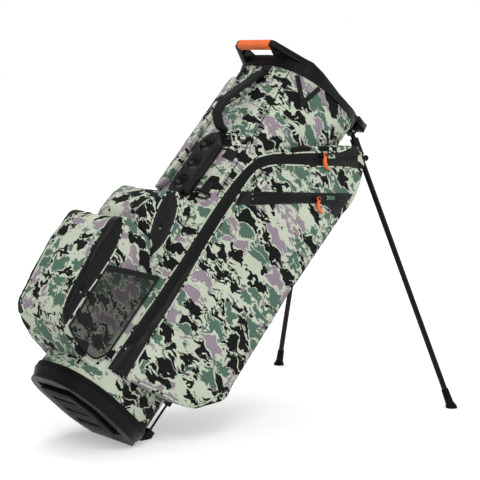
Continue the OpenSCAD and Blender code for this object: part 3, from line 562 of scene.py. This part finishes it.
# Its edges are painted sixteen times paler: a painted glint along the silo's rims.
polished = moulded_black("black_polished_moulding", (0.0024, 0.0025, 0.0029), 0.24, shine=0.17, edges=16)
rubber = grained_rubber("black_rubber", (0.0032, 0.0032, 0.0036), 0.55)
orange_grip = grained_rubber("orange_soft_rubber", (0.82, 0.165, 0.050), 0.5, fleck=1.2, grain=520.0, depth=0.15)
pale_dot = grained_rubber("pale_eyelet", (0.45, 0.50, 0.40), 0.5, fleck=1.1, grain=900.0, depth=0.1)
leg_coat = satin_metal("black_leg_coat", (0.0042, 0.0042, 0.0048), 0.3, 0.24, streak=0.2, shine=0.24)
wire = satin_metal("drawn_wire", (0.30, 0.30, 0.32), 1.0, 0.35, streak=0.25)
black_wire = satin_metal("black_wire", (0.020, 0.020, 0.022), 0.8, 0.38, streak=0.2)
stay = satin_metal("glass_fibre", (0.50, 0.46, 0.38), 0.0, 0.5, streak=0.15)

# Rigid pieces
for finish, slot, names in (
    (wire, "steel", ("grip_screws", "bracket_screws", "leg_pins")),
    (black_wire, "steel", ("stand_link_left", "stand_link_right", "push_rods")),
    (leg_coat, "leg_metal", ("leg_tube_left", "leg_tube_right")),
    (stay, "glass_fibre", ("stay_rods",)),
):
    for node in names:
        moulded(node, finish, width=0, slot=slot)

for node in ("base_boot", "top_collar", "divider_grid", "stand_bracket", "push_shoe", "rod_guides",
             "leg_socket_left", "leg_socket_right", "leg_clip_left", "leg_clip_right", "strap_ring",
             "top_slider_left", "chest_slider_left", "top_slider_right", "chest_slider_right"):
    moulded(node, plastic, width=0.0009 if "slider" in node or "clip" in node else 0.0016)
moulded("ball_silo", polished, width=0.0024, segments=3)
for node in ("base_tread", "base_welt", "leg_foot_left", "leg_foot_right"):
    moulded(node, rubber, width=0.0014, slot="black_rubber")
moulded("lift_grip", orange_grip, width=0.0030, segments=3, slot="orange_rubber")
for node in ("top_pull_left", "chest_pull_left", "top_pull_right", "chest_pull_right"):
    moulded(node, orange_grip, width=0.0008, slot="orange_rubber")

# Tube cloth: how far it waves and is drawn in, in millimetres, how close the waves lie, and how soon they die out
TUBE_WAVE, TUBE_DRAWN = 1.1, 0.6
WAVES_ROUND, WAVE_LEN = 2.2, 95
FOOT_FADE, TOP_FADE = 60, 14


def tube_place(u, v):
    """The tube's cloth from flange to collar, a little slack between them."""
    degrees = -180 + 360 * u
    turn = math.radians(degrees)
    w = FLANGE_H + v * (collar_w(tube_reach(turn, TUBE_LEN) * math.cos(turn)) - FLANGE_H)
    spot = Vector((math.cos(turn) * WAVES_ROUND, math.sin(turn) * WAVES_ROUND, w / WAVE_LEN))
    slack = TUBE_WAVE * noise.noise(spot) - TUBE_DRAWN
    slack *= min(1.0, (w - FLANGE_H) / FOOT_FADE, (1 - v) * TOP_FADE)
    return on_tube(degrees, w, slack)


tube = sheet("tube_cloth", 144, 72, tube_place, (0.74, 0.85))
edit_all(tube)
bpy.ops.mesh.remove_doubles(threshold=MERGE)
bpy.ops.mesh.normals_make_consistent(inside=False)
done_editing()
tube.data.materials.append(tube_print)
tube.data.materials.append(lining)


def skin_tree(*pieces):
    """One skin of several pieces, for lines to be cast on."""
    points, faces = [], []
    for piece in pieces:
        first = len(points)
        points += [v.co.copy() for v in piece.data.vertices]
        faces += [[first + i for i in face.vertices] for face in piece.data.polygons]
    return BVHTree.FromPolygons(points, faces)


tube_skin = skin_tree(tube)
modify(tube, "SOLIDIFY", thickness=0.0022, offset=-1.0, material_offset=1, material_offset_rim=1)
smooth(tube, 60)
dress(tube, None, "bag", ("tube_shell",), "camo_fabric")
sewn(tube, "base_boot", "top_collar")

# Dividers under the grid: the spine is one panel, the cross four, their widths added up
for node, width, length in (("divider_spine", 0.231, 0.844), ("divider_cross", 0.379, 0.833)):
    panel = solid_copy(node, node + "_cloth")
    modify(panel, "BEVEL", width=0.0006, segments=2, limit_method="ANGLE", angle_limit=math.radians(40))
    smooth(panel)
    dress(panel, lining, "bag", (node,), "divider_fabric")
    panel["cut"] = (width, length, sum(face.area for face in panel.data.polygons) / 2)
    sewn(panel, "divider_grid")

# Pockets: the solid's skin, remeshed, held along its seams and blown up by its filling


SEAM_STEP = 0.004


def seam_tree(piece, degrees):
    """Points along the sharp edges of a piece."""
    mesh = piece.data
    sides = {}
    for face in mesh.polygons:
        for key in face.edge_keys:
            sides.setdefault(key, []).append(face.normal)
    spots = []
    for key, pair in sides.items():
        if len(pair) == 2 and pair[0].angle(pair[1], 0) > math.radians(degrees):
            a, b = (mesh.vertices[i].co for i in key)
            count = max(1, int((b - a).length / SEAM_STEP))
            spots += [a.lerp(b, i / count) for i in range(count + 1)]
    tree = KDTree(max(1, len(spots)))
    for i, spot in enumerate(spots):
        tree.insert(spot, i)
    tree.balance()
    return tree


def filled(piece, voxel, pressure, cap, shrink, seam=0.008, degrees=24, frames=18):
    """Remeshes a pocket or pad and swells it between its seams, no point moving further than cap."""
    edit_all(piece)
    bpy.ops.mesh.dissolve_limited(angle_limit=FLAT)
    bpy.ops.mesh.normals_make_consistent(inside=False)
    done_editing()
    tree = seam_tree(piece, degrees)
    only(piece)
    piece.data.remesh_voxel_size = voxel
    bpy.ops.object.voxel_remesh()
    modify(piece, "SMOOTH", factor=0.5, iterations=3)
    normals = [v.normal.copy() for v in piece.data.vertices]
    for v, n in zip(piece.data.vertices, normals):
        v.co -= n * shrink * min(1.0, tree.find(v.co)[2] / (3 * seam))
    pins = piece.vertex_groups.new(name="seams")
    for v in piece.data.vertices:
        near = tree.find(v.co)[2]
        pins.add([v.index], max(0.0, 1 - near / seam) ** 0.5, "REPLACE")
    rest = [v.co.copy() for v in piece.data.vertices]
    only(piece)
    cloth = piece.modifiers.new("Cloth", "CLOTH")
    fabric = cloth.settings
    fabric.quality = 5
    fabric.mass = 0.25
    fabric.tension_stiffness = fabric.compression_stiffness = 18
    fabric.bending_stiffness = 0.4
    fabric.use_pressure = True
    fabric.uniform_pressure_force = pressure
    fabric.vertex_group_mass = "seams"
    fabric.effector_weights.gravity = 0
    cloth.point_cache.frame_end = frames
    for step in range(1, frames + 1):
        bpy.context.scene.frame_set(step)
    bpy.ops.object.modifier_apply(modifier=cloth.name)
    bpy.context.scene.frame_set(1)
    for v, start in zip(piece.data.vertices, rest):
        move = v.co - start
        if move.length > cap:
            v.co = start + move * (cap / move.length)
    piece.vertex_groups.clear()
    return piece


def finished_pad(piece):
    """One subdivision and smooth shading on a filled piece."""
    modify(piece, "SUBSURF", levels=1, render_levels=1)
    only(piece)
    bpy.ops.object.shade_smooth()
    return piece


def cast(tree, point, way, lift=0.0):
    """Where a line from far out meets a skin, lifted off it by so many metres, with the skin's outward normal."""
    spot, normal, _, _ = tree.ray_cast(point - way * 0.5, way)
    if spot is None:
        spot, normal, _, _ = tree.find_nearest(point)
    if normal.dot(way) > 0:
        normal = -normal
    return spot + normal * lift, normal


def inward(p, q):
    """The way from a place beside the tube straight to its axis."""
    return bag_way(-p, -q, 0)


def held_flat(piece, node, slider, ahead, travel, reach=0.017, fade=0.012, depth=0.0005):
    """Keeps the cloth flat where a slider runs: there it stays just below the solid's face."""
    solid = outer_skin(solid_copy(node, node + "_face"))
    face = skin_tree(solid)
    bpy.data.objects.remove(solid)
    spots = [v.co for v in nodes[slider].data.vertices]
    middle = sum(spots, Vector()) / len(spots)
    start, end = (middle + bag_way(*ahead) * t for t in travel)
    run = end - start
    for v in piece.data.vertices:
        share = min(1.0, max(0.0, (v.co - start).dot(run) / run.length_squared))
        away = (v.co - start - run * share).length
        if away < reach + fade:
            spot, normal, _, _ = face.find_nearest(v.co)
            proud = (v.co - spot).dot(normal) + depth
            if proud > 0:
                v.co -= normal * proud * min(1.0, (reach + fade - away) / fade)


# The way each slider runs, and how far back and ahead of its rest place its room reaches, in metres
ZIP_RUNS = (("top_slider_left", (0.733, -0.109, 0.672), (-0.016, 0.098)),
            ("chest_slider_left", (0.769, -0.114, 0.630), (-0.076, 0.080)))

side_pocket = outer_skin(solid_copy("side_pocket_left", "side_pocket_left_cloth"))
filled(side_pocket, voxel=0.0065, pressure=5.0, cap=0.009, shrink=0.004)
for slider, ahead, travel in ZIP_RUNS:
    held_flat(side_pocket, "side_pocket_left", slider, ahead, travel)
side_skin = skin_tree(side_pocket, tube)
finished_pad(side_pocket)
for piece, side in ((side_pocket, "left"), (mirrored(side_pocket, "side_pocket_right_cloth"), "right")):
    dress(piece, side_print, "bag", (f"side_pocket_{side}",), "camo_fabric")

ball_pocket = outer_skin(solid_copy("ball_pocket", "ball_pocket_cloth"))
filled(ball_pocket, voxel=0.006, pressure=5.0, cap=0.010, shrink=0.003)
ball_skin = skin_tree(ball_pocket)
dress(finished_pad(ball_pocket), ball_print, "bag", ("ball_pocket",), "camo_fabric")

upper_pocket = outer_skin(solid_copy("upper_pocket", "upper_pocket_cloth"))
filled(upper_pocket, voxel=0.0055, pressure=5.0, cap=0.009, shrink=0.003)
upper_skin = skin_tree(upper_pocket)
dress(finished_pad(upper_pocket), upper_print, "bag", ("upper_pocket",), "camo_fabric")

for node, finish in (("hip_pad", pad_cloth), ("strap_pad", tube_print)):
    pad = solid_copy(node, node + "_cloth")
    filled(pad, voxel=0.0045, pressure=4.0, cap=0.004, shrink=0.0015)
    dress(finished_pad(pad), finish, "bag", (node,), "black_fabric")

# Bands and straps laid on the cloth


def band_between(name, skin, edge_a, edge_b, across, count, lift=0.0005, thick=0.0011, way=None, width=None):
    """A band of cloth between two lines of (p, q, w) points, lying on a skin."""
    first, second = smooth_line(edge_a, count), smooth_line(edge_b, count)
    length = sum((b - a).length for a, b in zip(first, first[1:]))
    broad = width or max((a - b).length for a, b in zip(first, second))

    def place(u, v):
        spot = at_share(first, v).lerp(at_share(second, v), u)
        return cast(skin, bag(*spot), way or inward(spot.x, spot.y), lift)[0]

    middle = first[count // 2].lerp(second[count // 2], 0.5)
    out = -(way or inward(middle.x, middle.y))
    return smooth(sheet(name, across, count, place, (broad / 1000, length / 1000), thick, out), 50)


def strap_on(name, skin, line, width, thick, count, lift=0.0004):
    """A strap of webbing along a line of (p, q, w) points, lying on a skin; width and thick in metres."""
    points = []
    for spot in smooth_line(line, count):
        points.append(cast(skin, bag(*spot), inward(spot.x, spot.y)))
    length = sum((b[0] - a[0]).length for a, b in zip(points, points[1:]))

    def place(u, v):
        f = v * count
        i = min(int(f), count - 1)
        here, normal = points[i][0].lerp(points[i + 1][0], f - i), points[i][1].lerp(points[i + 1][1], f - i)
        ahead = (points[i + 1][0] - points[i][0]).normalized()
        spot = here + ahead.cross(normal).normalized() * (u - 0.5) * width
        return cast(skin, spot, -normal.normalized(), lift)[0]

    out = points[count // 2][1]
    return smooth(sheet(name, 6, count, place, (width, length), thick, out), 50)


def piped(name, skin, line, count, radius=0.0018, way=None):
    """Piping along a line of (p, q, w) points on a skin."""
    spots = smooth_line(line, count)
    return piping(name, [cast(skin, bag(*s), way or inward(s.x, s.y), radius * 0.5)[0] for s in spots], radius)


def both_sides(piece, name, finish, nodes_left=(), nodes_right=(), slot="black_fabric", under=()):
    """Dresses a piece of the left side and its twin on the right; under names what each is sewn to as a sheet."""
    piece.name = name + "_left"
    twin = mirrored(piece, name + "_right")
    for side, hidden, below in ((piece, nodes_left, under[:1]), (twin, nodes_right, under[-1:])):
        dress(side, finish, "bag", hidden, slot)
        if below:
            sewn(side, *below)
    return piece, twin


# Side pocket: one band climbs its rear edge and turns along its top, one crosses the chest
REAR_OUTER = [(-79, -97, 74), (-80, -97, 122), (-80, -98, 180), (-80, -99, 253), (-81, -99, 328),
              (-83, -98, 407), (-85, -98, 470), (-85, -99, 535), (-82, -101, 574), (-78, -104, 601),
              (-71, -107, 624), (-52, -116, 651), (-31, -127, 670), (4, -146, 705), (39, -154, 736),
              (62, -157, 759), (78, -159, 786), (92, -161, 799)]
REAR_INNER = [(-42, -122, 82), (-46, -120, 140), (-49, -118, 246), (-54, -115, 344), (-58, -113, 400),
              (-60, -111, 453), (-61, -111, 507), (-62, -111, 550), (-61, -111, 580), (-58, -112, 599),
              (-50, -117, 614), (-43, -121, 625), (-28, -129, 641), (-6, -141, 660), (41, -154, 698),
              (75, -159, 727), (103, -163, 750), (120, -166, 762)]
CHEST_UPPER = [(-60, -111, 541), (-30, -128, 566), (10, -149, 600), (70, -158, 650), (132, -168, 700),
               (150, -169, 712)]
CHEST_LOWER = [(-57, -112, 507), (-28, -129, 532), (10, -149, 568), (60, -157, 612), (104, -164, 643),
               (150, -170, 642)]
POCKET_FOOT = [(-38, -124, 84), (-8, -140, 90), (30, -152, 98), (66, -158, 105), (104, -164, 121),
               (124, -167, 146), (138, -169, 184)]
SIDES = ("side_pocket_left", "side_pocket_right")
TAB_UPPER = [(-31, -128, 687), (2, -131, 721)]
TAB_LOWER = [(-25, -131, 676), (4, -145, 706)]

band = band_between("rear_band", side_skin, REAR_OUTER, REAR_INNER, 10, 150, width=REAR_ZIP_W)
both_sides(band, "rear_zip_band", zip_wide, ("side_zip_left",), ("side_zip_right",), under=SIDES)
band = band_between("chest_band", side_skin, CHEST_UPPER, CHEST_LOWER, 10, 56, width=CHEST_ZIP_W)
both_sides(band, "chest_zip_band", zip_chest, under=SIDES)
both_sides(band_between("tab", side_skin, TAB_UPPER, TAB_LOWER, 4, 12), "top_strip_tab", flat_tape)
cords = [piped("outer", side_skin, REAR_OUTER[:-1], 150), piped("inner", side_skin, REAR_INNER[:-1], 150),
         piped("foot", side_skin, POCKET_FOOT, 60)]
both_sides(join("pocket_piping", cords), "pocket_piping", cord_print, slot="camo_fabric")


def stud(name, skin, place, ahead, size, edge, way=None):
    """A small rounded block on a skin: size is its length, width and height in metres."""
    p, q, w = place
    spot, normal = cast(skin, bag(p, q, w), way or inward(p, q))
    along = (bag_way(*ahead) - normal * bag_way(*ahead).dot(normal)).normalized()
    deselect()
    bpy.ops.mesh.primitive_cube_add(size=1)
    piece = bpy.context.object
    piece.name = name
    for v in piece.data.vertices:
        x, y, z = v.co.x * size[0], v.co.y * size[1], (v.co.z + 0.5) * size[2]
        v.co = spot + along * x + normal.cross(along) * y + normal * z
    modify(piece, "BEVEL", width=edge, segments=3)
    return smooth(piece, 40)


garages = [stud("top", side_skin, (51, -156, 735), (1, 0, 0.9), (0.019, 0.0085, 0.0020), 0.0007),
           stud("chest", side_skin, (105, -164, 665), (1, 0, 0.8), (0.021, 0.0085, 0.0020), 0.0007)]
both_sides(join("zip_garages", garages), "zip_garages", side_print, slot="camo_fabric")
stops = [stud("rear", side_skin, (-70.7, -102.6, 141), (0, 0, 1), (0.011, 0.008, 0.0034), 0.0012),
         stud("chest", side_skin, (-44, -121, 541), (1, 0, 0.8), (0.009, 0.006, 0.0030), 0.0010)]
both_sides(join("zip_stops", stops), "zip_stops", plastic, slot="black_plastic")
dots = [stud("rear", side_skin, (-71.4, -102, 127), (0, 0, 1), (0.0034, 0.0028, 0.0026), 0.0008),
        stud("chest_a", side_skin, (-41.6, -122.5, 549), (1, 0, 0.8), (0.0026, 0.0026, 0.0024), 0.0007),
        stud("chest_b", side_skin, (-36.4, -125.2, 540.4), (1, 0, 0.8), (0.0026, 0.0026, 0.0024), 0.0007)]
both_sides(join("zip_eyelets", dots), "zip_eyelets", pale_dot, slot="camo_fabric")

# Ball pocket and the pocket above it: a zip band on each gusset
IN_REAR = bag_way(0.55, 0.84, 0)
IN_SIDE = bag_way(0, 1, 0)
BALL_REAR = [(-248, -64, 325), (-254, -68, 303), (-254, -74, 260), (-250, -75, 228), (-239, -75, 160),
             (-230, -74, 122), (-217, -77, 92), (-207, -82, 84)]
BALL_FRONT = [(-240, -75, 324), (-231, -85, 306), (-215, -85, 272), (-210, -85, 232), (-208, -85, 186),
              (-208, -85, 140), (-205, -85, 100), (-204, -84, 86)]
UPPER_REAR = [(-178, -78, 438), (-187, -80, 426), (-187, -80, 402), (-176, -80, 360), (-161, -80, 328),
              (-137, -80, 309)]
UPPER_FRONT = [(-170, -79, 439), (-154, -80, 428), (-138, -80, 402), (-127, -80, 364), (-126, -80, 334),
               (-131, -80, 308)]
band = band_between("ball_band", ball_skin, BALL_REAR, BALL_FRONT, 8, 60, way=IN_REAR, width=BALL_ZIP_W)
both_sides(band, "ball_zip_band", zip_ball, ("ball_zip",), under=("ball_pocket",))
band = band_between("upper_band", upper_skin, UPPER_REAR, UPPER_FRONT, 8, 36, way=IN_SIDE, width=UPPER_ZIP_W)
both_sides(band, "upper_zip_band", zip_upper, ("upper_zip",), under=("upper_pocket",))
cords = [piped("a", ball_skin, BALL_REAR, 70, way=IN_REAR), piped("b", ball_skin, BALL_FRONT, 70, way=IN_REAR)]
both_sides(join("ball_piping", cords), "ball_pocket_piping", cord_print, slot="camo_fabric")
cords = [piped("a", upper_skin, UPPER_REAR, 50, way=IN_SIDE),
         piped("b", upper_skin, UPPER_FRONT, 50, way=IN_SIDE)]
both_sides(join("upper_piping", cords), "upper_pocket_piping", cord_print, slot="camo_fabric")
stops = [stud("ball", ball_skin, (-221, -85, 160), (0.2, 0, 1), (0.012, 0.008, 0.0034), 0.0012, IN_REAR),
         stud("upper", upper_skin, (-154, -80, 372), (0.3, 0, 1), (0.010, 0.007, 0.0032), 0.0012, IN_SIDE)]
both_sides(join("gusset_stops", stops), "gusset_zip_stops", plastic, slot="black_plastic")
dots = [stud("ball", ball_skin, (-222, -85, 150), (0.2, 0, 1), (0.0036, 0.0028, 0.0026), 0.0008, IN_REAR),
        stud("upper", upper_skin, (-154, -80, 362), (0.3, 0, 1), (0.0032, 0.0028, 0.0026), 0.0008, IN_SIDE)]
both_sides(join("gusset_eyelets", dots), "gusset_eyelets", pale_dot, slot="camo_fabric")

# Bottle sleeves: mesh held at three sides, its mouth drawn in by elastic
SLEEVE_FOOT = [(-198, -86.5, 86), (-176, -88, 77), (-140, -90, 71), (-110, -91, 74), (-94, -94.5, 100)]
SLEEVE_MOUTH = [(-209, -87, 226), (-180, -94, 241), (-150, -97, 257), (-120, -97.5, 272), (-97, -94.5, 284)]
SLEEVE_BELLY, SLEEVE_RIPPLE, SLEEVE_CLEAR = 5.5, 0.7, 1.3
ELASTIC_W, ELASTIC_PROUD, ELASTIC_LIFT, ELASTIC_BELLY = 12.0, 2.0, 0.9, 1.6
foot_line, mouth_line = smooth_line(SLEEVE_FOOT, 40), smooth_line(SLEEVE_MOUTH, 40)


def sleeve_place(u, v):
    """The mesh between foot and mouth, slack in its middle and clear of the pocket under it."""
    low, high = at_share(foot_line, u), at_share(mouth_line, u)
    spot = low.lerp(high, v)
    belly = SLEEVE_BELLY * math.sin(math.pi * u) ** 0.7 * math.sin(math.pi * min(1.0, v * 0.8 + 0.1))
    ripple = SLEEVE_RIPPLE * noise.noise(Vector((u * 5, v * 4, 3.1))) * math.sin(math.pi * u)
    skin = in_bag(cast(ball_skin, bag(spot.x, spot.y, spot.z), IN_SIDE)[0])
    return bag(spot.x, min(spot.y - belly - ripple, skin.y - SLEEVE_CLEAR), spot.z)


def elastic_place(u, v):
    """The elastic along the mouth."""
    spot = at_share(mouth_line, v)
    low = at_share(foot_line, v)
    down = (low - spot).normalized() * (u * ELASTIC_W - ELASTIC_PROUD)
    return bag(spot.x + down.x, spot.y - ELASTIC_LIFT - ELASTIC_BELLY * math.sin(math.pi * v), spot.z + down.z)


sleeve = smooth(sheet("sleeve", 36, 40, sleeve_place, (0.125, 0.185), 0.0, bag_way(0, -1, 0)), 80)
both_sides(sleeve, "bottle_sleeve", netting, ("bottle_sleeve_left",), ("bottle_sleeve_right",), "mesh",
           ("ball_pocket",))
SIDE_STEPS, FOOT_STEPS = 24, 40
edge = [sleeve_place(0.0, 1 - i / SIDE_STEPS) for i in range(SIDE_STEPS)]
edge += [sleeve_place(i / FOOT_STEPS, 0.0) for i in range(FOOT_STEPS + 1)]
edge += [sleeve_place(1.0, (i + 1) / SIDE_STEPS) for i in range(SIDE_STEPS)]
both_sides(piping("sleeve_binding", edge, 0.0021), "sleeve_binding", webbing, slot="webbing")
elastic = smooth(sheet("elastic", 6, 36, elastic_place, (0.012, 0.126), 0.0016, bag_way(0, -1, 0)), 60)
both_sides(elastic, "sleeve_elastic", webbing, ("sleeve_elastic_left",), ("sleeve_elastic_right",), "webbing",
           ("bottle_sleeve_left", "bottle_sleeve_right"))

# Webbing on the tube


def islands(node):
    """The separate solids of a node, each as lowest and highest p, q and w."""
    piece = solid_copy(node, node + "_parts")
    edit_all(piece)
    bpy.ops.mesh.separate(type="LOOSE")
    done_editing()
    spans = []
    for part in list(bpy.context.selected_objects):
        found = [in_bag(v.co) for v in part.data.vertices]
        spans.append([(min(v[i] for v in found), max(v[i] for v in found)) for i in range(3)])
        bpy.data.objects.remove(part)
    return spans


def straps_for(node, lengthwise):
    """Webbing straps in the places of a node's solids on the tube."""
    pieces = []
    for (p0, p1), (q0, q1), (w0, w1) in islands(node):
        side = (p0 + p1) / 2
        q, w = (q0 + q1) / 2, (w0 + w1) / 2
        if lengthwise:
            line, width = [(side, q, w0), (side, q, w), (side, q, w1)], q1 - q0
        else:
            line, width = [(side, q0, w), (side, q, w), (side, q1, w)], w1 - w0
        pieces.append(strap_on("strap", tube_skin, line, width / 1000, 0.0021, 14))
    cuts = [tuple(piece["cut"]) for piece in pieces]
    piece = join(node + "_webbing", pieces)
    piece["cut"] = (max(c[0] for c in cuts), sum(c[1] for c in cuts), sum(c[2] for c in cuts))
    return sewn(dress(piece, webbing, "bag", (node,), "webbing"), "tube_shell")


straps_for("handle_tabs", True)
straps_for("cross_webbing", False)
straps_for("strap_webbing", True)
straps_for("toe_tab", True)

LOOP_KNOT = (-62, -116, 783)
LOOP_W, LOOP_THICK = 0.010, 0.0022
loop = [strap_on("towel_a", tube_skin, [(-97, -92, 829), (-80, -104, 806), LOOP_KNOT], LOOP_W, LOOP_THICK, 16),
        strap_on("towel_b", tube_skin, [(-50, -119, 838), (-56, -117, 810), LOOP_KNOT], LOOP_W, LOOP_THICK, 16),
        stud("towel_bar", tube_skin, LOOP_KNOT, (0.5, 0, 1), (0.016, 0.011, 0.0034), 0.0012)]
dress(join("towel_straps", loop), webbing, "bag", ("towel_loop",), "webbing")


def softened(node, finish, voxel, turns, slot):
    """A sewn piece with the soft edges of cloth over foam."""
    piece = solid_copy(node, node + "_cloth")
    piece.data.remesh_voxel_size = voxel
    only(piece)
    bpy.ops.object.voxel_remesh()
    modify(piece, "SMOOTH", factor=0.5, iterations=turns)
    only(piece)
    bpy.ops.object.shade_smooth()
    dress(piece, finish, "bag", (node,), slot)
    return piece


softened("carry_handle", trim_cloth, voxel=0.0022, turns=7, slot="webbing")
softened("ring_tab", trim_cloth, voxel=0.0009, turns=3, slot="webbing")

# Seams of the tube
TUBE_SEAM = [(-110, -78, 831), (-104, -84, 740), (-96, -90, 590), (-92, -92, 500)]
for side, flip in (("left", 1), ("right", -1)):
    line = [(p, q * flip, w) for p, q, w in TUBE_SEAM]
    seam = piped("tube_seam_" + side, tube_skin, line, 60, 0.0010)
    dress(seam, trim_cloth, "bag", (), "black_fabric")

# Studio
deselect()
bpy.ops.mesh.primitive_plane_add(size=80, location=(0, 0, 0))
floor = bpy.context.object
floor.name = "studio_floor"
paper = Finish("studio_paper", (0.90, 0.90, 0.90), 0.95, Specular_IOR_Level=0.0)
reach = paper.add("VectorMath", {0: paper.coords.outputs["Object"], 1: (0.3, 0.0, 0.0)}, operation="DISTANCE")
lift = paper.add("MapRange", {"Value": reach.outputs["Value"], "From Min": 0.7, "From Max": 2.2, "To Min": 0.36,
                              "To Max": 0.72}).outputs[0]
path = paper.add("LightPath")
seen = paper.math("MAXIMUM", path.outputs["Is Camera Ray"], path.outputs["Is Glossy Ray"])
seen = paper.math("MAXIMUM", seen, path.outputs["Is Transmission Ray"])
glow = paper.add("Emission", {"Color": (1, 1, 1, 1), "Strength": paper.math("MULTIPLY", seen, lift)})
both = paper.add("AddShader", {0: paper.shader.outputs[0], 1: glow.outputs[0]})
paper.tree.links.new(both.outputs[0], paper.tree.nodes["Material Output"].inputs["Surface"])
floor.data.materials.append(paper.mat)

world = bpy.data.worlds.new("studio_world")
bpy.context.scene.world = world
world.use_nodes = True
sky = world.node_tree
sky.nodes["Background"].inputs["Color"].default_value = (1, 1, 1, 1)
rays = sky.nodes.new("ShaderNodeLightPath")
level = sky.nodes.new("ShaderNodeMapRange")
level.inputs["To Min"].default_value = 0.5
level.inputs["To Max"].default_value = 1.0
sky.links.new(rays.outputs["Is Camera Ray"], level.inputs["Value"])
sky.links.new(level.outputs[0], sky.nodes["Background"].inputs["Strength"])


def softbox(name, place, aim, size, power):
    """A rectangular lamp at a place, turned to what it lights."""
    deselect()
    bpy.ops.object.light_add(type="AREA", location=place)
    lamp = bpy.context.object
    lamp.name = name
    lamp.data.shape = "RECTANGLE"
    lamp.data.size, lamp.data.size_y = size
    lamp.data.energy = power
    lamp.rotation_euler = (Vector(aim) - Vector(place)).to_track_quat("-Z", "Y").to_euler()


softbox("key_softbox", (-1.6, -2.4, 2.9), (0.25, 0, 0.35), (1.8, 1.8), 60)
softbox("fill_softbox", (2.6, -2.2, 1.6), (0.3, 0, 0.4), (1.6, 1.6), 20)
softbox("top_softbox", (0.4, 0.9, 3.2), (0.3, 0, 0.3), (2.4, 1.6), 34)

# The camera as fitted to the photograph
CAMERA_AT, CAMERA_AIM, CAMERA_LENS = (-1.617, -2.258, 0.779), (0.3323, 0, 0.3821), 103.57
deselect()
bpy.ops.object.camera_add(location=CAMERA_AT)
camera = bpy.context.object
camera.name = "photo_camera"
camera.rotation_euler = (Vector(CAMERA_AIM) - camera.location).to_track_quat("-Z", "Y").to_euler()
camera.data.sensor_fit = "HORIZONTAL"
camera.data.sensor_width = 36.0
camera.data.lens = CAMERA_LENS
camera.data.clip_end = 100
bpy.context.scene.camera = camera
bpy.context.scene.view_settings.view_transform = "Standard"
